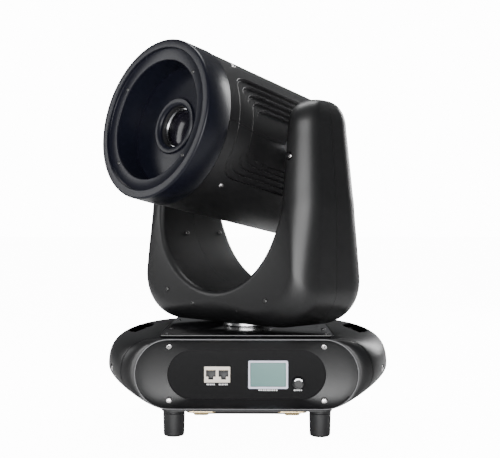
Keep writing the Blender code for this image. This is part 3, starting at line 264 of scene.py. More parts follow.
def bezier(start, handle_a, handle_b, end, segments):
    points = []
    for k in range(segments + 1):
        t = k / segments
        weights = ((1 - t) ** 3, 3 * (1 - t) ** 2 * t, 3 * (1 - t) * t * t, t**3)
        corners = (start, handle_a, handle_b, end)
        points.append(tuple(sum(w * c[i] for w, c in zip(weights, corners)) for i in (0, 1)))
    return points


def rounded_rectangle(half_width, half_height, radius, segments=6, centre=(0, 0)):
    points = []
    for k, (sx, sy) in enumerate(((1, 1), (-1, 1), (-1, -1), (1, -1))):
        corner = (centre[0] + sx * (half_width - radius), centre[1] + sy * (half_height - radius))
        points += arc(corner, radius, k * math.pi / 2, (k + 1) * math.pi / 2, segments)
    return points


def shade(mesh, sharp):
    """Shades a mesh smooth except over edges sharper than an angle in degrees."""
    mesh.shade_smooth()
    mesh.set_sharp_from_angle(angle=math.radians(sharp))


def coat(made, *finishes):
    made.data.materials.clear()
    for finish in finishes:
        made.data.materials.append(finish)


def mesh_object(name, points, faces, finish, place=None, sharp=32):
    """An object at the origin from points, moved into place in its mesh."""
    mesh = bpy.data.meshes.new(name)
    build = bmesh.new()
    corners = [build.verts.new(p) for p in points]
    for face in faces:
        build.faces.new([corners[i] for i in face])
    bmesh.ops.recalc_face_normals(build, faces=build.faces)
    build.to_mesh(mesh)
    build.free()
    if place is not None:
        mesh.transform(place)
    shade(mesh, sharp)
    made = bpy.data.objects.new(name, mesh)
    bpy.context.scene.collection.objects.link(made)
    mesh.materials.append(finish)
    return made


def loft(name, rings, finish, place=None, closed=False, sharp=32):
    """A skin over rings of equal length: capped at both ends or, if closed, joined into a loop."""
    count = len(rings[0])
    points = [p for ring in rings for p in ring]
    faces = []
    for k in range(len(rings) if closed else len(rings) - 1):
        a = k * count
        b = (k + 1) % len(rings) * count
        for i in range(count):
            j = (i + 1) % count
            faces.append((a + i, a + j, b + j, b + i))
    if not closed:
        faces.append(tuple(range(count)))
        faces.append(tuple(range(len(points) - count, len(points))))
    return mesh_object(name, points, faces, finish, place, sharp)


def prism(name, outline, ends, finish, place=None):
    """A straight body between two heights, from an outline of (x, y)."""
    return loft(name, [[(x, y, z) for x, y in outline] for z in ends], finish, place)


def sheet_loft(name, outer, inner, finish, capped=False, sharp=32):
    """A thick sheet between two grids of points. Its first and last rows can be closed by caps."""
    count = len(outer[0])
    stations = len(outer)
    points = [p for row in outer for p in row] + [p for row in inner for p in row]
    far = stations * count
    faces = []
    for k in range(stations - 1):
        a = k * count
        b = a + count
        for i in range(count - 1):
            faces.append((a + i, a + i + 1, b + i + 1, b + i))
            faces.append((far + a + i, far + a + i + 1, far + b + i + 1, far + b + i))
        faces.append((a, b, far + b, far + a))
        faces.append((a + count - 1, b + count - 1, far + b + count - 1, far + a + count - 1))
    for end in (0, (stations - 1) * count):
        last = end + count - 1
        if capped:
            faces.append(tuple(range(end, last + 1)))
            faces.append(tuple(range(far + end, far + last + 1)))
            faces.append((end, last, far + last, far + end))
        else:
            for i in range(end, last):
                faces.append((i, i + 1, far + i + 1, far + i))
    return mesh_object(name, points, faces, finish, sharp=sharp)


def apply_modifiers(made):
    """Turns an object's modifiers into its mesh."""
    depsgraph = bpy.context.evaluated_depsgraph_get()
    mesh = bpy.data.meshes.new_from_object(made.evaluated_get(depsgraph))
    made.modifiers.clear()
    made.data = mesh
    return made


def cut(made, cutter):
    modifier = made.modifiers.new("cut", "BOOLEAN")
    modifier.operation = "DIFFERENCE"
    modifier.object = cutter
    modifier.solver = "EXACT"
    apply_modifiers(made)
    bpy.data.objects.remove(cutter)
    return made


def bevel(made, width, segments=3, angle=40):
    """Rounds an object's sharp edges and shades it again."""
    modifier = made.modifiers.new("edges", "BEVEL")
    modifier.width = width
    modifier.segments = segments
    modifier.limit_method = "ANGLE"
    modifier.angle_limit = math.radians(angle)
    apply_modifiers(made)
    shade(made.data, 50)
    return made


def fasten(made, body, node=None):
    """Makes a piece ride on a body and, when a node is given, stand for it by hiding the node's own
    solid.
    """
    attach(made, body)
    if node is not None:
        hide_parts(node)
    return made


def base_outline():
    """The lens-shaped outline of the base, from its right tip over the top and round."""
    side = BASE_HALF_WIDTH
    plate = PLATE_HALF_WIDTH
    upper = bezier((side, BASE_MIDDLE), (side, 0.090), (0.167, BASE_TOP), (plate, BASE_TOP), STEPS)
    lower = bezier((plate, BASE_BOTTOM), (0.146, 0.028), (side, 0.040), (side, BASE_MIDDLE), STEPS)
    left_upper = [(-x, z) for x, z in reversed(upper)]
    left_lower = [(-x, z) for x, z in reversed(lower)]
    return upper + left_upper + left_lower[1:] + lower[:-1]


def stadium(half_width, half_height, height=FACE_HEIGHT):
    """A stadium with as many points as the base's outline, in the same order."""
    centre = half_width - half_height
    quarter = math.pi / 2
    right = (centre, height)
    left = (-centre, height)
    upper = arc(right, half_height, 0, quarter, STEPS)
    upper += arc(left, half_height, quarter, 2 * quarter, STEPS)
    lower = arc(left, half_height, 2 * quarter, 3 * quarter, STEPS)[1:]
    lower += arc(right, half_height, 3 * quarter, 4 * quarter, STEPS)[:-1]
    return upper + lower


def between(start, end, share):
    return [(a + (c - a) * share, b + (d - b) * share) for (a, b), (c, d) in zip(start, end)]


def rounding_distance(share):
    """Distance from the pan axis of the base's rounding, where it has grown by this share."""
    return BASE_HALF_DEPTH - BASE_ROUNDING * (1 - math.sqrt(max(1 - share * share, 0)))


def base_section(share):
    return between(stadium(FACE_HALF_WIDTH, FACE_HALF_HEIGHT), base_outline(), share)


def end_band(section, inset):
    """The part of a section beyond the middle plates, evenly spaced, moved inwards by inset."""
    limit = PLATE_HALF_WIDTH + SEAM
    count = 72
    quarter = len(section) // 4
    side = section[-quarter:] + section[: quarter + 1]
    curve = [p for p in side if p[0] > limit]
    first = side.index(curve[0])
    last = side.index(curve[-1])
    for end, inside, outside in ((0, first - 1, first), (len(curve) + 1, last + 1, last)):
        (a, b), (c, d) = side[max(inside, 0)], side[outside]
        curve.insert(end, (limit, b + (d - b) * (limit - a) / (c - a)))
    lengths = [0.0]
    for a, b in zip(curve, curve[1:]):
        lengths.append(lengths[-1] + math.dist(a, b))
    spaced = []
    for k in range(count):
        target = lengths[-1] * k / (count - 1)
        i = max(j for j in range(len(curve) - 1) if lengths[j] <= target + 1e-9)
        share = (target - lengths[i]) / (lengths[i + 1] - lengths[i])
        (a, b), (c, d) = curve[i], curve[i + 1]
        spaced.append((a + (c - a) * share, b + (d - b) * share))
    moved = []
    for k, (x, z) in enumerate(spaced):
        before = spaced[max(k - 1, 0)]
        after = spaced[min(k + 1, count - 1)]
        length = math.dist(before, after)
        dx, dz = (after[0] - before[0]) / length, (after[1] - before[1]) / length
        inwards = x - dz * inset if 0 < k < count - 1 else x
        moved.append((inwards, z + dx * inset))
    return moved


def eye_outline(centre, half_length, half_width):
    """An eye shape from two arcs, its long axis along Y."""
    lean = 2 * math.atan(half_width / half_length)
    bow = half_length / math.sin(lean)
    reach = bow - half_width
    points = arc((centre - reach, 0), bow, -lean, lean, 24)[:-1]
    points += arc((centre + reach, 0), bow, math.pi - lean, math.pi + lean, 24)[:-1]
    return points


def tip_seat(side):
    """Floor of the screw recess at one tip, and the way it faces."""
    mirror = Vector((side, 1, 1))
    return (TIP - TIP_FACING * TIP_DEPTH) * mirror, TIP_FACING * mirror


def end_shell(name, node, side):
    shares = [SHELL_SHARE + (1 - SHELL_SHARE) * math.sin(math.pi / 2 * k / 18) for k in range(19)]
    stations = [(-rounding_distance(share), share) for share in shares]
    stations += [(-y, share) for y, share in reversed(stations[:-1])]
    outer = []
    inner = []
    for y, share in stations:
        section = base_section(share)
        outer.append([(side * x, y, z) for x, z in end_band(section, 0)])
        shift = math.copysign((1 - share) / (1 - SHELL_SHARE) * WALL, -y)
        inner.append([(side * x, y + shift, z) for x, z in end_band(section, WALL)])
    shell = sheet_loft(name, outer, inner, BLACK)
    eye = eye_outline(side * HANDLE_X, HANDLE_HALF_LENGTH, HANDLE_HALF_WIDTH)
    heights = (BASE_TOP - 0.020, BASE_TOP + 0.010)
    cut(shell, prism("opening", eye, heights, BLACK))
    seat, facing = tip_seat(side)
    place = Matrix.Translation(seat) @ facing.to_track_quat("Z", "Y").to_matrix().to_4x4()
    cut(shell, stacked("tip_recess", [(0.0056, 0.0), (0.0064, 0.01)], BLACK, 24, place))
    bevel(shell, 0.0007, 2, 50)
    fasten(shell, "base", node)


def stacked(name, profile, finish, segments=48, place=None):
    """A body turned about Z from (radius, height) stations, with a flat cap at each end."""
    rings = []
    for radius, height in profile:
        rings.append([(*p, height) for p in arc((0, 0), radius, 0, 2 * math.pi, segments)[:-1]])
    return loft(name, rings, finish, place)


def turned(name, profile, finish, segments=96, place=None):
    """A ring turned about Z from a closed profile of (radius, height) that stays off the axis."""
    rings = []
    for k in range(segments):
        angle = 2 * math.pi * k / segments
        rings.append([(r * math.cos(angle), r * math.sin(angle), h) for r, h in profile])
    return loft(name, rings, finish, place, closed=True)


for side_name, side in (("left", -1), ("right", 1)):
    end_shell(f"{side_name}_end_shell", f"base_{side_name}_shell", side)


# The grip bars: powder-coated steel bows under the openings, hung from the end shells.

for side_name in ("left", "right"):
    low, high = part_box(f"{side_name}_handle")
    post = (high.y - HANDLE_HALF_LENGTH) / 2
    middle = (low.x + high.x) / 2
    drop = high.z - 0.009
    reach = HANDLE_HALF_LENGTH + post
    centre_z = (drop + low.z) / 2
    bend = 0.0055
    path = [(-reach, high.z), (-reach, centre_z + bend)]
    path += arc((-reach + bend, centre_z + bend), bend, math.pi, 1.5 * math.pi, 8)
    path += arc((reach - bend, centre_z + bend), bend, 1.5 * math.pi, 2 * math.pi, 8)
    path += [(reach, centre_z + bend), (reach, high.z)]
    rings = []
    for k, (y, z) in enumerate(path):
        before = path[max(k - 1, 0)]
        after = path[min(k + 1, len(path) - 1)]
        length = math.dist(before, after)
        ny, nz = -(after[1] - before[1]) / length, (after[0] - before[0]) / length
        ring = arc((0, 0), post * 0.98, 0, 2 * math.pi, 24)[:-1]
        rings.append([(middle + a, y + b * ny, z + b * nz) for a, b in ring])
    fasten(
        loft(f"{side_name}_grip_bar", rings, DARK_METAL), "base", f"{side_name}_handle"
    )


# The face frames: moulded plastic with a rim whose light grey band is a painted highlight along its
# bevel, and a dished bezel that falls to the panel. The front one carries the display panel and the
# rear one the socket panel.

PANEL_HALF_WIDTH = 0.0975
PANEL_HALF_HEIGHT = 0.0305
DISH_DEPTH = 0.011
RIM_WIDTH = 0.0016
# The faces between these two rings of the frame are painted light grey: a painted highlight along the
# rim's bevel.
PAINTED_HIGHLIGHT_RINGS = (6, 7)
RIM_PAINTED_HIGHLIGHT = textured("rim_painted_highlight", (0.12, 0.12, 0.125), 0.34, grain=900, bump=0.02)


def face_frame(name, node, side):
    rim = stadium(FACE_HALF_WIDTH, FACE_HALF_HEIGHT)
    rim_inner = stadium(FACE_HALF_WIDTH - RIM_WIDTH, FACE_HALF_HEIGHT - RIM_WIDTH)
    lip = stadium(PANEL_HALF_WIDTH, PANEL_HALF_HEIGHT, PANEL_HEIGHT)
    profile = [(base_section(RIM_SHARE), rounding_distance(RIM_SHARE) - 0.0008)]
    for share in (RIM_SHARE, 0.28, 0.2, 0.12, 0.05):
        profile.append((base_section(share), rounding_distance(share)))
    profile.append((between(rim, rim_inner, 0.0), BASE_HALF_DEPTH - 0.0003))
    profile.append((between(rim, rim_inner, 0.3), BASE_HALF_DEPTH))
    profile.append((between(rim, rim_inner, 0.75), BASE_HALF_DEPTH))
    profile.append((between(rim, rim_inner, 1.0), BASE_HALF_DEPTH - 0.0006))
    for step in [k / 12 for k in range(1, 13)]:
        profile.append((between(rim_inner, lip, step), BASE_HALF_DEPTH - DISH_DEPTH * step**0.7))
    profile.append((lip, BASE_HALF_DEPTH - DISH_DEPTH - 0.002))
    profile.append((between(rim_inner, lip, 0.01), BASE_HALF_DEPTH - 0.005))
    rings = [[(x, -side * y, z) for x, z in section] for section, y in profile]
    made = loft(name, rings, BLACK, closed=True, sharp=28)
    made.data.materials.append(RIM_PAINTED_HIGHLIGHT)
    # The rim band's faces take the light grey finish, a painted highlight along the bevel.
    for face in made.data.polygons:
        corners = [v // len(rim) for v in face.vertices]
        if min(corners) in PAINTED_HIGHLIGHT_RINGS and max(corners) - min(corners) == 1:
            face.material_index = 1
    fasten(made, "base", node)


face_frame("front_face_frame", "base_front_frame", 1)
face_frame("rear_face_frame", "base_rear_frame", -1)


# The display: a pale framed screen that shows a soft teal field behind glossy glass.

PANEL_FACE = -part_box("front_panel")[0].y


def screen_glass():
    """A teal liquid crystal field, a little lighter towards one corner, with a fine dot pitch."""
    own = {"Roughness": 0.22, "Coat Weight": 0.4}
    made, tree, shader = shader_material("display_field", own)
    low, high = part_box("display_screen")
    width = high.x - low.x
    spread = {"Scale": (0.6 / width, 1, 0.5 / width), "Location": (-low.x * 0.6 / width, 0, 0)}
    grid = {"Scale": 2600, "Color1": (1, 1, 1, 1), "Color2": (0.93, 0.93, 0.93, 1)}
    place = add_node(tree, "ShaderNodeTexCoord")
    slope = add_node(tree, "ShaderNodeTexGradient")
    shift = add_node(tree, "ShaderNodeMapping", spread | {"Rotation": (0, 0.6, 0)})
    dots = add_node(tree, "ShaderNodeTexChecker", grid)
    ramp = add_node(tree, "ShaderNodeValToRGB")
    ramp.color_ramp.elements[0].color = (0.075, 0.180, 0.170, 1)
    ramp.color_ramp.elements[1].color = (0.125, 0.250, 0.230, 1)
    mix = add_node(tree, "ShaderNodeMix", None, data_type="RGBA", blend_type="MULTIPLY")
    mix.inputs["Factor"].default_value = 1.0
    wire(
        tree,
        (place, "Object", shift, "Vector"),
        (shift, "Vector", slope, "Vector"),
        (place, "Object", dots, "Vector"),
        (slope, "Fac", ramp, "Fac"),
        (ramp, "Color", mix, "A"),
        (dots, "Color", mix, "B"),
        (mix, "Result", shader, "Base Color"),
    )
    return made


def middle_and_half(node):
    """The middle of a node's box and half of its size."""
    low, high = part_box(node)
    return (low + high) / 2, (high - low) / 2


def framed_display():
    middle, half = middle_and_half("display_frame")
    front = middle.y + half.y
    rim = 0.0026
    lavender = textured("pale_display_frame", (0.70, 0.70, 0.82), 0.35, grain=900, bump=0.02)
    stations = (
        (0.0, 0.0000, 0.0020),
        (0.0, 0.0013, 0.0020),
        (0.0005, 0.0018, 0.0018),
        (rim - 0.0007, 0.0018, 0.0012),
        (rim, 0.0011, 0.0010),
        (rim, 0.0000, 0.0010),
    )
    rings = []
    for inset, height, radius in stations:
        size = (half.x - inset, half.z - inset)
        outline = rounded_rectangle(*size, radius, 6, (middle.x, middle.z))
        rings.append([(x, front - height, z) for x, z in outline])
    made = loft("display_bezel", rings, lavender, closed=True)
    fasten(made, "base", "display_frame")
    dress("display_screen", screen_glass())


framed_display()


# The network sockets: an ivory block with two keyed chambers, each with a row of gilt contacts.


SOCKET_X = 0.0078
CONTACT_PITCH = 0.00103
SLAB_FACES = ((0, 1, 2, 3), (7, 6, 5, 4), (0, 4, 5, 1), (1, 5, 6, 2), (2, 6, 7, 3), (3, 7, 4, 0))


def slabs(name, quads, lift, finish):
    """Thin slabs as one piece, each from four corners and the same corners moved by lift."""
    points = []
    faces = []
    for quad in quads:
        start = len(points)
        points += quad
        points += [tuple(a + b for a, b in zip(corner, lift)) for corner in quad]
        faces += [tuple(start + i for i in face) for face in SLAB_FACES]
    return mesh_object(name, points, faces, finish)


def network_block():
    middle, half = middle_and_half("network_sockets")
    front, back = middle.y - half.y, middle.y + half.y
    outline = rounded_rectangle(half.x, half.z, 0.0006, 3, (middle.x, PANEL_HEIGHT))
    rings = [[(x, y, z) for x, z in outline] for y in (front, back)]
    made = loft("network_block", rings, IVORY)
    hollow = textured("socket_shade", (0.02, 0.02, 0.022), 0.5)
    contacts = []
    for x in (-SOCKET_X, SOCKET_X):
        chamber = [(-0.006, 0.0055), (-0.006, -0.0025), (-0.003, -0.0025), (-0.003, -0.0060)]
        chamber += [(-a, b) for a, b in reversed(chamber)]
        outline = [(middle.x + x + a, PANEL_HEIGHT + b) for a, b in chamber]
        rings = [[(a, y, b) for a, b in outline] for y in (front - 0.004, front + 0.0105)]
        cut(made, loft("chamber", rings, hollow))
        for k in range(8):
            across = middle.x + x - 0.0036 + k * CONTACT_PITCH
            contacts.append((across, front + 0.004, PANEL_HEIGHT + 0.0047))
    bevel(made, 0.0003, 2, 60)
    coat(made, IVORY, hollow)
    for face in made.data.polygons:
        if face.center.y > front + 0.0015:
            face.material_index = 1
    fasten(made, "base", "network_sockets")
    quads = []
    for x, y, z in contacts:
        left, right = x - 0.0002, x + 0.0002
        back, fall = y + 0.005, z - 0.0016
        quads.append([(left, y, z), (right, y, z), (right, back, fall), (left, back, fall)])
    gilt = textured("gilt_contacts", (0.85, 0.60, 0.25), 0.25, metallic=1.0)
    made = slabs("network_contacts", quads, (0, 0, 0.0003), gilt)
    fasten(made, "base", None)


network_block()


# The menu knob: a small glossy push-and-turn cap with a knurled side and a bright metal arc on its
# top edge, a painted highlight.


def menu_knob():
    middle, half = middle_and_half("menu_knob")
    radius = half.x
    centre = (middle.x, middle.z)
    back, length = middle.y + half.y, 2 * half.y
    rings = []
    for share, narrow, depth in (
        (0.46, 0, 0.76),
        (0.46, 0, 0.0),
        (0.97, 0, 0.0),
        (1.0, 0.0, 0.05),
        (1.0, 0.035, 0.10),
        (0.99, 0.035, 0.80),
        (0.96, 0.0, 0.88),
        (0.90, 0.0, 0.95),
        (0.80, 0.0, 0.985),
        (0.70, 0.0, 0.975),
        (0.62, 0.0, 0.94),
    ):
        ring = []
        for k in range(144):
            angle = 2 * math.pi * k / 144
            groove = narrow * (0.5 + 0.5 * math.cos(24 * angle))
            r = radius * (share - groove)
            x, z = centre[0] + r * math.cos(angle), centre[1] + r * math.sin(angle)
            ring.append((x, back - depth * length, z))
        rings.append(ring)
    made = loft("menu_knob_cap", rings, BLACK)
    fasten(made, "menu_knob", "menu_knob")
    # A bright metal arc along the cap's top edge: a painted highlight where the rim catches light
    # from above.
    bright = textured("knob_painted_highlight", (0.75, 0.75, 0.76), 0.25, metallic=1.0)
    highlight_rows = []
    for depth, reach in ((0.986, 0.66), (0.99, 0.66), (0.985, 0.88), (0.95, 0.88)):
        points = arc(centre, radius * reach, math.radians(35), math.radians(145), 24)
        highlight_rows.append([(x, back - depth * length, z) for x, z in points])
    strip = [[row[k] for row in highlight_rows] for k in range(len(highlight_rows[0]))]
    fasten(loft("knob_pointer", strip, bright), "menu_knob", None)


menu_knob()


# The legends: short printed dashes in place of words under the sockets, display and knob.


def legend_bars():
    white = textured("printed_white", (0.82, 0.82, 0.82), 0.5, bump=0.01)
    groups = (
        (-0.0440, 0.0385, 0.0105, 5),
        (-0.0284, 0.0385, 0.0115, 6),
        (0.0265, 0.0316, 0.024, 9),
        (0.0632, 0.0316, 0.0105, 5),
    )
    quads = []
    face_y = -PANEL_FACE - 0.00008
    for x, z, width, dashes in groups:
        pitch = width / dashes
        for k in range(dashes):
            left = x - width / 2 + k * pitch
            wide = pitch * (0.62 if k % 2 else 0.78)
            corners = ((0, 0), (wide, 0), (wide, 0.0017), (0, 0.0017))
            quads.append([(left + dx, face_y, z + dz) for dx, dz in corners])
    made = slabs("panel_legends", quads, (0, 0.00008, 0), white)
    fasten(made, "base", None)


legend_bars()


# The top plate: a glossy pressed cover between the end shells, with a folded edge at the front
# and the rear. The chrome collar stands on it round the pan post.


def top_cover():
    low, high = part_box("base_top_plate")
    outline = rounded_rectangle(high.x, high.y, 0.0015, 3)
    made = prism("top_cover", outline, (low.z, high.z), GLOSS)
    hole = stacked("post_hole", [(0.0185, low.z - 0.01), (0.0185, high.z + 0.01)], GLOSS, 64)
    cut(made, hole)
    bevel(made, 0.0006, 3, 50)
    coat(made, textured("top_gloss", (0.008, 0.008, 0.009), 0.16, grain=800, bump=0.02))
    fasten(made, "base", "base_top_plate")

    low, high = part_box("pan_collar")
    radius = high.x
    bore = 0.0183
    edge = 0.0006
    profile = [
        (bore, low.z),
        (radius - edge, low.z),
        (radius, low.z + edge),
        (radius, high.z - edge),
        (radius - edge, high.z),
        (bore, high.z),
    ]
    fasten(turned("chrome_collar", profile, CHROME), "base", "pan_collar")


top_cover()


# The feet: tapered rubber with a rounded tread and a fine ring where the mould parts.


CORNERS = ("front_left", "front_right", "rear_left", "rear_right")
TREAD_ROUND = 0.0032


def rubber_feet():
    for corner in CORNERS:
        middle, half = middle_and_half(f"foot_{corner}")
        radius, tall = half.x, 2 * half.z
        stations = [(radius - 0.0052, 0.0)]
        stations += arc((radius - 0.0042, TREAD_ROUND), TREAD_ROUND, -math.pi / 2, 0, 6)
        stations += [(radius - 0.0006, tall * 0.5), (radius - 0.0003, tall * 0.82)]
        stations.append((radius - 0.0008, tall * 0.84))
        stations += [(radius - 0.0001, tall * 0.86), (radius - 0.0001, tall)]
        place = Matrix.Translation((middle.x, middle.y, FLOOR))
        made = stacked(f"rubber_foot_{corner}", stations, RUBBER, 64, place)
        fasten(made, "base", f"foot_{corner}")


rubber_feet()


# The bracket locks: yellow-zinc quarter-turn receptacles, each a pressed oval with a raised boss,
# under the pan's flange.


def bracket_locks():
    for corner in CORNERS:
        node = f"bracket_lock_{corner}"
        middle, half = middle_and_half(node)
        top, low = middle.z + half.z, middle.z - half.z
        rings = []
        for share, z in (
            (0.985, top),
            (1.0, top - 0.0004),
            (1.0, top - 0.0012),
            (0.97, top - 0.0016),
            (0.62, top - 0.0018),
            (0.54, top - 0.0024),
            (0.50, low + 0.0006),
            (0.45, low),
        ):
            wide, deep = half.x * share, half.y * share
            outline = rounded_rectangle(wide, deep, deep * 0.95, 10, (middle.x, middle.y))
            rings.append([(x, y, z) for x, y in outline])
        fasten(loft(node + "_plate", rings, ZINC), "base", node)


bracket_locks()


# The yoke: two moulded half covers that meet on the tilt axis. The yoke is a deep U with broad
# rounded outer corners, a round throat and domed arm tops.

TILT_AXIS = Vector((0, 0, 0.3355))
YOKE = Matrix.Rotation(math.radians(-45), 4, "Z")
HEAD = YOKE @ Matrix.Translation(TILT_AXIS) @ Matrix.Rotation(math.radians(-11), 4, "X")
YOKE_BOTTOM = 0.106
YOKE_HALF_WIDTH = 0.1572
YOKE_TOP_HALF_WIDTH = 0.149
YOKE_HALF_DEPTH = 0.066
YOKE_ARM_HALF_DEPTH = 0.046
YOKE_FLARE_START = 0.130
YOKE_TOP = 0.393
YOKE_DOME = 0.036
YOKE_CORNER_WIDTH = 0.065
YOKE_CORNER_HEIGHT = 0.050
YOKE_INNER_ROUND = 0.008
YOKE_OUTER_ROUND = 0.034
THROAT_RADIUS = 0.1135
THROAT_HEIGHT = 0.2635
PARTING = 0.00015
POST_WAY_RADIUS = 0.030
AXLE_WAY_RADIUS = 0.0146


def yoke_stations(inset):
    """Inner and outer ends of each section of the right half of the yoke, in (x, z)."""
    quarter = math.pi / 2
    side = YOKE_HALF_WIDTH - inset
    corner_width = YOKE_CORNER_WIDTH - inset
    corner_height = YOKE_CORNER_HEIGHT - inset
    corner = (side - corner_width, YOKE_BOTTOM + YOKE_CORNER_HEIGHT)
    outer = [(corner[0] * k / 12, YOKE_BOTTOM + inset) for k in range(12)]
    outer += arc(corner, (corner_width, corner_height), -quarter, 0, 24)
    outer += [(side, corner[1] + (THROAT_HEIGHT - corner[1]) * k / 12) for k in range(1, 13)]
    count = len(outer) - 1
    throat = THROAT_RADIUS + inset
    stations = list(zip(arc((0, THROAT_HEIGHT), throat, -quarter, 0, count), outer))
    arm_top = YOKE_TOP - YOKE_DOME
    for k in range(1, 9):
        share = k / 8
        z = THROAT_HEIGHT + (arm_top - THROAT_HEIGHT) * share
        lean = (YOKE_HALF_WIDTH - YOKE_TOP_HALF_WIDTH) * share
        stations.append(((throat, z), (side - lean, z)))
    return stations


def yoke_half_depth(z):
    tall = YOKE_TOP - YOKE_DOME - YOKE_FLARE_START
    share = min(max((z - YOKE_FLARE_START) / tall, 0), 1)
    return YOKE_HALF_DEPTH + (YOKE_ARM_HALF_DEPTH - YOKE_HALF_DEPTH) * share**1.3


def half_section(inner, outer, half_depth, inset, shrink=1.0):
    """Half of a section of the yoke, as (x, y, z) with y from the parting plane to -half_depth."""
    length = math.dist(inner, outer)
    quarter = math.pi / 2
    inner_round = YOKE_INNER_ROUND - inset
    outer_round = min(YOKE_OUTER_ROUND - inset, length - inner_round - 0.0005)
    depth = half_depth - inset
    curve = [(0, PARTING), (0, (depth - inner_round) / 2)]
    curve += arc((inner_round, depth - inner_round), inner_round, 2 * quarter, quarter, 8)
    curve += arc((length - outer_round, depth - outer_round), outer_round, quarter, 0, 20)
    curve.append((length, PARTING))
    ux, uz = (outer[0] - inner[0]) / length, (outer[1] - inner[1]) / length
    middle = length * 0.42
    points = []
    for across, y in curve:
        along = middle + (across - middle) * shrink
        narrowed = max(y * shrink, PARTING) if y > PARTING else PARTING
        points.append((inner[0] + ux * along, -narrowed, inner[1] + uz * along))
    return points


def yoke_skin(inset):
    """A grid over half of the yoke, from the top of one arm to the top of the other."""
    stations = yoke_stations(inset)
    rows = []
    for inner, outer in stations:
        depth = yoke_half_depth((inner[1] + outer[1]) / 2)
        rows.append(half_section(inner, outer, depth, inset))
    inner, outer = stations[-1]
    for k in range(1, 17):
        angle = math.radians(87) * (k / 16) ** 0.85
        rise = (YOKE_DOME - inset) * math.sin(angle)
        shrink = math.cos(angle) ** 0.72
        lifted = [(x, z + rise) for x, z in (inner, outer)]
        rows.append(half_section(*lifted, YOKE_ARM_HALF_DEPTH, inset, shrink))
    mirrored = [[(-x, y, z) for x, y, z in row] for row in reversed(rows[1:])]
    return mirrored + rows


YOKE_SCREWS = (
    (-0.0915, 0.1479, 0.0656),
    (-0.0398, 0.1318, 0.0648),
    (0.0456, 0.1271, 0.0630),
    (0.0981, 0.1414, 0.0656),
)
ARM_SCREW = (0.1225, 0.3204)
ARM_SCREW_DEPTH = 0.0465


def yoke_cover(name, node, side):
    grids = []
    for inset in (0, WALL):
        grids.append([[(x, side * y, z) for x, y, z in row] for row in yoke_skin(inset)])
    made = sheet_loft(name, *grids, BLACK, capped=True, sharp=60)
    reach = YOKE_BOTTOM + WALL + 0.004
    post_way = [(POST_WAY_RADIUS, YOKE_BOTTOM - 0.01), (POST_WAY_RADIUS, reach)]
    cut(made, stacked("post_way", post_way, BLACK, 64))
    across = Matrix.Translation(TILT_AXIS) @ Matrix.Rotation(math.pi / 2, 4, "Y")
    half = THROAT_RADIUS + WALL + 0.002
    axle_way = [(AXLE_WAY_RADIUS, -half), (AXLE_WAY_RADIUS, half)]
    cut(made, stacked("axle_way", axle_way, BLACK, 48, across))
    for u in (-ARM_SCREW[0], ARM_SCREW[0]):
        turn = Matrix.Rotation(side * math.pi / 2, 4, "X")
        seat = Matrix.Translation((u, -side * ARM_SCREW_DEPTH, ARM_SCREW[1])) @ turn
        cut(made, stacked("arm_recess", [(0.0054, 0.0), (0.0058, 0.01)], BLACK, 24, seat))
    made.data.transform(YOKE)
    shade(made.data, 50)
    fasten(made, "yoke", node)


yoke_cover("yoke_front_half", "yoke_front_cover", 1)
yoke_cover("yoke_rear_half", "yoke_rear_cover", -1)


# The head's covers: an upper and a lower half barrel. Both sides fall in five soft terraces that
# run back past the tilt axis, where the arms stand.

HOOD_BACK = 0.131
HEAD_SHELL_BACK = -0.085
HEAD_RADIUS = 0.1013
HEAD_REAR_RADIUS = 0.0973
TERRACES = 5
TERRACE_DEPTH = 0.0032
TERRACE_FRONT = 0.115
TERRACE_PITCH = 0.011
TERRACE_HALF_HEIGHT = 0.064
TERRACE_SHRINK = 0.006


def terrace_depth(place, lift):
    """How far the side falls in at a distance along the head and a height from its axis."""
    along = (TERRACE_FRONT - place) / TERRACE_PITCH
    across = (TERRACE_HALF_HEIGHT - abs(lift)) / TERRACE_SHRINK
    spread = 2.6
    level = min(along, across) - max(spread - abs(along - across), 0) ** 2 / (4 * spread)
    depth = 0.0
    for k in range(TERRACES):
        rise = min(max((level - k) / 0.10, 0), 1)
        depth += rise * rise * (3 - 2 * rise)
    return depth * TERRACE_DEPTH


def cover_rows(inset, side):
    places = [HOOD_BACK - 0.0003 - k * 0.004 for k in range(4)]
    places += [TERRACE_FRONT + 0.001 - k * 0.0006 for k in range(96)]
    places += [0.050, 0.030, 0.0, -0.040, -0.080, HEAD_SHELL_BACK]
    lifts = [PARTING] + [k * 0.00052 for k in range(1, 127)]
    rows = []
    for place in places:
        share = (HOOD_BACK - place) / (HOOD_BACK - HEAD_SHELL_BACK)
        radius = HEAD_RADIUS + (HEAD_REAR_RADIUS - HEAD_RADIUS) * share - inset
        quarter = []
        for lift in lifts:
            angle = math.asin(lift / radius)
            reach = radius - terrace_depth(place + inset, lift + inset)
            quarter.append((reach * math.cos(angle), reach * math.sin(angle)))
        start = math.asin(lifts[-1] / radius)
        quarter += arc((0, 0), radius, start, math.pi / 2, 24)[1:]
        points = quarter + [(-x, z) for x, z in reversed(quarter[:-1])]
        rows.append([(x, -place, side * max(z, PARTING)) for x, z in points])
    return rows


def head_cover(name, node, side):
    made = sheet_loft(name, cover_rows(0, side), cover_rows(WALL, side), BLACK, sharp=50)
    across = Matrix.Rotation(math.pi / 2, 4, "Y")
    cut(made, stacked("axle_way", [(0.0143, -0.1), (0.0143, 0.1)], BLACK, 48, across))
    made.data.transform(HEAD)
    shade(made.data, 50)
    fasten(made, "head", node)


head_cover("upper_half_barrel", "head_upper_cover", 1)
head_cover("lower_half_barrel", "head_lower_cover", -1)


# The hood: a painted ring with a chamfered mouth, a screw ledge inside it and a dark bore that
# ends at the baffle.

HOOD_FRONT = 0.1682
HOOD_RADIUS = 0.1021
HOOD_STEP_RADIUS = 0.0909
HOOD_BORE_RADIUS = 0.0761
HOOD_LEDGE_DEPTH = 0.0045
OPTICAL = HEAD @ Matrix.Rotation(math.pi / 2, 4, "X")


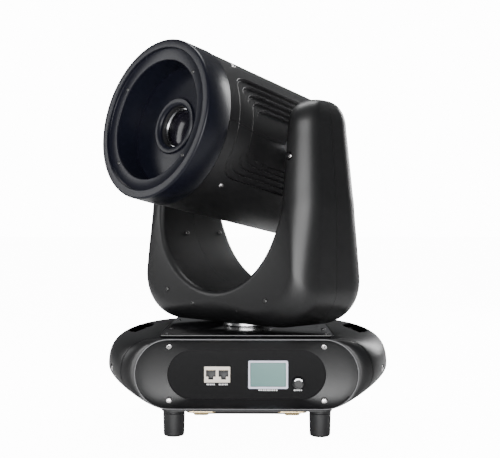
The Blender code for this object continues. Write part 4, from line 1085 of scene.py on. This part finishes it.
def hood_ring():
    ledge = HOOD_FRONT - HOOD_LEDGE_DEPTH
    mouth = arc((HOOD_RADIUS - 0.0026, HOOD_FRONT - 0.0026), 0.0026, 0, math.pi / 2, 6)
    lip = arc((HOOD_STEP_RADIUS + 0.0014, HOOD_FRONT - 0.0014), 0.0014, math.pi / 2, math.pi, 5)
    inside = arc((HOOD_BORE_RADIUS + 0.0012, ledge - 0.0012), 0.0012, math.pi / 2, math.pi, 4)
    profile = [(HOOD_BORE_RADIUS, HOOD_BACK), (HOOD_RADIUS - 0.0010, HOOD_BACK)]
    profile += [(HOOD_RADIUS, HOOD_BACK + 0.0010), *mouth, *lip]
    profile += [(HOOD_STEP_RADIUS, ledge + 0.0006), (HOOD_STEP_RADIUS - 0.0006, ledge), *inside]
    made = turned("hood_ring", profile, HOOD, 160, OPTICAL)
    made.data.set_sharp_from_angle(angle=math.radians(50))
    fasten(made, "head", "head_hood")


hood_ring()


# The rear cover: a shallow moulded cap with a rounded edge and seven round-ended cooling slots.
# It closes the back of the barrel, behind the fan.


HEAD_BACK = -0.111
CAP_BEND = 0.026
SLOT_HALF_WIDTH = 0.003
SLOT_HALF_LENGTH = 0.040
SLOT_PITCH = 0.012


def rear_cap():
    back = HEAD_BACK
    rim = HEAD_REAR_RADIUS
    bend = CAP_BEND
    start = HEAD_SHELL_BACK - SEAM
    outside = arc((rim - bend, back + bend), bend, 0, -math.pi / 2, 12)
    inside = arc((rim - bend, back + bend), bend - WALL, -math.pi / 2, 0, 8)
    stations = [*inside, (rim - WALL, start), (rim, start), *outside]
    made = stacked("rear_cap", stations, BLACK, 128, OPTICAL)
    for k in range(-3, 4):
        middle = (k * SLOT_PITCH, 0)
        outline = rounded_rectangle(SLOT_HALF_WIDTH, SLOT_HALF_LENGTH, 0.0029, 6, middle)
        cut(made, prism("slot", outline, (back - 0.01, back + WALL + 0.002), BLACK, OPTICAL))
    bevel(made, 0.0006, 2, 50)
    fasten(made, "head", "head_rear_cover")


rear_cap()


# The baffle and the lens: a dark disc with a raised boss, and in its middle a dark chromed
# carriage ring that holds the small coated front lens.

BAFFLE_FRONT = HOOD_BACK - SEAM
TUBE_BORE = 0.0273
LENS_RADIUS = 0.0230
CARRIAGE_FRONT = 0.124


def coated_glass():
    """Dark optical glass with a faint blue and amber coating."""
    own = {"Roughness": 0.12, "Specular IOR Level": 0.2}
    made, tree, shader = shader_material("coated_lens", own)
    place = add_node(tree, "ShaderNodeTexCoord")
    cloud = add_node(tree, "ShaderNodeTexNoise", {"Scale": 18})
    ramp = add_node(tree, "ShaderNodeValToRGB")
    blue, amber = ramp.color_ramp.elements
    blue.position, amber.position = 0.35, 0.75
    blue.color = (0.002, 0.002, 0.004, 1)
    amber.color = (0.012, 0.010, 0.016, 1)
    wire(
        tree,
        (place, "Object", cloud, "Vector"),
        (cloud, "Fac", ramp, "Fac"),
        (ramp, "Color", shader, "Base Color"),
    )
    return made


def baffle_and_lens():
    outer = HEAD_RADIUS - WALL - 0.0015
    boss = 0.036
    profile = [
        (TUBE_BORE, BAFFLE_FRONT - 0.002),
        (outer, BAFFLE_FRONT - 0.002),
        (outer, BAFFLE_FRONT),
        (boss + 0.0016, BAFFLE_FRONT),
        (boss + 0.0003, BAFFLE_FRONT + 0.0004),
        (boss, BAFFLE_FRONT + 0.0020),
        (boss - 0.0009, BAFFLE_FRONT + 0.0029),
        (TUBE_BORE + 0.0034, BAFFLE_FRONT + 0.003),
        (TUBE_BORE + 0.0016, BAFFLE_FRONT + 0.0022),
        (TUBE_BORE, BAFFLE_FRONT + 0.0008),
    ]
    made = turned("matt_baffle", profile, HOOD, 128, OPTICAL)
    fasten(made, "head", "lens_baffle")

    back = CARRIAGE_FRONT - 0.012
    profile = [
        (LENS_RADIUS + 0.0003, back),
        (TUBE_BORE - 0.0004, back),
        (TUBE_BORE - 0.0004, CARRIAGE_FRONT - 0.0008),
        (TUBE_BORE - 0.0012, CARRIAGE_FRONT),
        (LENS_RADIUS + 0.0014, CARRIAGE_FRONT),
        (LENS_RADIUS + 0.0003, CARRIAGE_FRONT - 0.0016),
    ]
    ring = textured("dark_chrome", (0.30, 0.30, 0.31), 0.24, metallic=1.0, bump=0.01)
    made = turned("bright_carriage", profile, ring, 96, OPTICAL)
    fasten(made, "focus_carriage", "focus_carriage")

    middle = CARRIAGE_FRONT - 0.0045
    stations = []
    for k in range(14):
        share = math.cos(math.pi / 2 * k / 14)
        stations.append((LENS_RADIUS * share, middle + 0.0034 * (1 - share * share)))
    stations = [(r, 2 * middle - h - 0.0005) for r, h in reversed(stations)] + stations
    made = stacked("front_lens_glass", stations, coated_glass(), 96, OPTICAL)
    fasten(made, "focus_carriage", "front_lens")


baffle_and_lens()


# The screws: pan heads with a cross recess, set out by one node tree on points that carry the way
# each head faces. Bright ones hold the bezels, the tips, the arms and the barrel, dark ones the rest.


def screw_head(name, finish):
    """One pan head of radius 1 that stands on the origin along Z, with a cross recess."""
    dome = [(1.0, -0.30), (1.0, 0.12), (0.95, 0.30), (0.80, 0.46), (0.55, 0.56), (0.25, 0.60)]
    made = stacked(name, dome, finish, 32)
    for across in (0, 1):
        half = ((0.56, 0.10), (0.10, 0.56))[across]
        rings = []
        for share, z in ((0.55, 0.22), (1.0, 0.75)):
            outline = rounded_rectangle(half[0] * share, half[1] * share, 0.02, 2)
            rings.append([(x, y, z) for x, y in outline])
        cut(made, loft("recess", rings, finish))
    shade(made.data, 30)
    return made


def screw_tree(head, finish):
    """Points in, a turned and scaled head on each of them out, as plain mesh with its finish."""
    tree = bpy.data.node_groups.new("set_screws", "GeometryNodeTree")
    tree.interface.new_socket("Points", in_out="INPUT", socket_type="NodeSocketGeometry")
    size = tree.interface.new_socket("Size", in_out="INPUT", socket_type="NodeSocketFloat")
    seed = tree.interface.new_socket("Seed", in_out="INPUT", socket_type="NodeSocketInt")
    tree.interface.new_socket("Screws", in_out="OUTPUT", socket_type="NodeSocketGeometry")
    start = add_node(tree, "NodeGroupInput")
    end = add_node(tree, "NodeGroupOutput")
    named = {"Name": "facing"}
    facing = add_node(tree, "GeometryNodeInputNamedAttribute", named, data_type="FLOAT_VECTOR")
    align = add_node(tree, "FunctionNodeAlignRotationToVector", None, axis="Z")
    spin = add_node(tree, "FunctionNodeRandomValue", None, data_type="FLOAT")
    spin.inputs["Max"].default_value = 6.283
    turn = add_node(tree, "FunctionNodeAxisAngleToRotation", {"Axis": (0, 0, 1)})
    both = add_node(tree, "FunctionNodeRotateRotation", None, rotation_space="LOCAL")
    shape = add_node(tree, "GeometryNodeObjectInfo", {"Object": head})
    place = add_node(tree, "GeometryNodeInstanceOnPoints")
    real = add_node(tree, "GeometryNodeRealizeInstances")
    paint = add_node(tree, "GeometryNodeSetMaterial", {"Material": finish})
    wire(
        tree,
        (facing, "Attribute", align, "Vector"),
        (start, "Seed", spin, "Seed"),
        (spin, "Value", turn, "Angle"),
        (align, "Rotation", both, "Rotation"),
        (turn, "Rotation", both, "Rotate By"),
        (start, "Points", place, "Points"),
        (shape, "Geometry", place, "Instance"),
        (both, "Rotation", place, "Rotation"),
        (start, "Size", place, "Scale"),
        (place, "Instances", real, "Geometry"),
        (real, "Geometry", paint, "Geometry"),
        (paint, "Geometry", end, "Screws"),
    )
    return tree, size.identifier, seed.identifier


def set_screws(name, body, seats, radius, finish, seed):
    """Screw heads of one radius at (place, facing) seats, as one piece that rides on a body."""
    mesh = bpy.data.meshes.new(name)
    mesh.from_pydata([tuple(place) for place, facing in seats], [], [])
    facings = mesh.attributes.new("facing", "FLOAT_VECTOR", "POINT")
    for item, (place, facing) in zip(facings.data, seats):
        item.vector = facing
    made = bpy.data.objects.new(name, mesh)
    bpy.context.scene.collection.objects.link(made)
    head = screw_head(name + "_head", finish)
    tree, size_input, seed_input = screw_tree(head, finish)
    modifier = made.modifiers.new("screws", "NODES")
    modifier.node_group = tree
    modifier[size_input] = radius
    modifier[seed_input] = seed
    apply_modifiers(made)
    shade(made.data, 30)
    bpy.data.objects.remove(head)
    fasten(made, body, None)


def seats_in(matrix, places, facing):
    turn = matrix.to_3x3()
    return [(matrix @ Vector(place), turn @ Vector(facing)) for place in places]


BRIGHT_SCREW = textured("bright_screw", (0.70, 0.68, 0.68), 0.25, metallic=1.0, grain=600, bump=0.03)
DARK_SCREW = textured("dark_screw", (0.10, 0.10, 0.10), 0.32, metallic=0.9, grain=600, bump=0.03)

BEZEL_SCREW_X = 0.0952
BEZEL_SCREW_HEIGHTS = (0.0205, 0.0870)
BEZEL_SCREW_DEPTH = 0.0080
BEZEL_LEAN = 0.12
bezel_y = BASE_HALF_DEPTH - BEZEL_SCREW_DEPTH
bezel_seats = []
for x in (-BEZEL_SCREW_X, BEZEL_SCREW_X):
    for z, lean in zip(BEZEL_SCREW_HEIGHTS, (BEZEL_LEAN, -BEZEL_LEAN)):
        for side in (-1, 1):
            bezel_seats.append((Vector((x, side * bezel_y, z)), Vector((0, side, lean))))
set_screws("bezel_screws", "base", bezel_seats, 0.0043, BRIGHT_SCREW, 3)

set_screws("tip_screws", "base", [tip_seat(-1), tip_seat(1)], 0.0042, BRIGHT_SCREW, 5)

SUNK = 0.0002
PLATE_SCREW_X = 0.098
PLATE_SCREW_PLACES = (-0.118, -0.060, 0.060, 0.118)
plate_seats = []
for x in (-PLATE_SCREW_X, PLATE_SCREW_X):
    for y in PLATE_SCREW_PLACES:
        plate_seats.append((Vector((x, y, BASE_TOP - SUNK)), Vector((0, 0, 1))))
set_screws("plate_screws", "base", plate_seats, 0.0027, DARK_SCREW, 7)

yoke_seats = []
for u, z, depth in YOKE_SCREWS:
    yoke_seats += seats_in(YOKE, [(u, -depth, z)], (0, -1, 0))
    yoke_seats += seats_in(YOKE, [(u, depth, z)], (0, 1, 0))
THROAT_SCREW_DEPTHS = (-0.0168, 0.0457)
lean = math.radians(-19.8)
for side in (-1, 1):
    reach = THROAT_RADIUS - 0.0003
    u = side * reach * math.cos(lean)
    z = THROAT_HEIGHT + reach * math.sin(lean)
    inwards = (-side * math.cos(lean), 0, -math.sin(lean))
    yoke_seats += seats_in(YOKE, [(u, depth, z) for depth in THROAT_SCREW_DEPTHS], inwards)
set_screws("yoke_screws", "yoke", yoke_seats, 0.0029, DARK_SCREW, 11)

arm_seats = []
for u in (-ARM_SCREW[0], ARM_SCREW[0]):
    for side in (-1, 1):
        seat = (u, side * (ARM_SCREW_DEPTH + SUNK), ARM_SCREW[1])
        arm_seats += seats_in(YOKE, [seat], (0, side, 0))
set_screws("arm_screws", "yoke", arm_seats, 0.0030, BRIGHT_SCREW, 19)

ledge = HOOD_FRONT - HOOD_LEDGE_DEPTH
HOOD_SCREW_RADIUS = 0.0805
HOOD_SCREW_ANGLES = (42, 146, 221, 322)
hood_seats = []
for degrees in HOOD_SCREW_ANGLES:
    angle = math.radians(degrees)
    across = (HOOD_SCREW_RADIUS * math.cos(angle), HOOD_SCREW_RADIUS * math.sin(angle))
    hood_seats.append((*across, ledge - SUNK))
hood_seats = seats_in(OPTICAL, hood_seats, (0, 0, 1))
set_screws("hood_screws", "head", hood_seats, 0.0024, DARK_SCREW, 13)

BARREL_SCREW_PLACE = 0.102
BARREL_SCREW_ANGLES = (-46, 53, 127, -134)
barrel_seats = []
for angle in BARREL_SCREW_ANGLES:
    turn = math.radians(angle)
    out = Vector((math.cos(turn), math.sin(turn), 0))
    share = (HOOD_BACK - BARREL_SCREW_PLACE) / (HOOD_BACK - HEAD_SHELL_BACK)
    radius = HEAD_RADIUS + (HEAD_REAR_RADIUS - HEAD_RADIUS) * share - SUNK
    barrel_seats += seats_in(OPTICAL, [out * radius + Vector((0, 0, BARREL_SCREW_PLACE))], out)
set_screws("barrel_screws", "head", barrel_seats, 0.0030, BRIGHT_SCREW, 17)
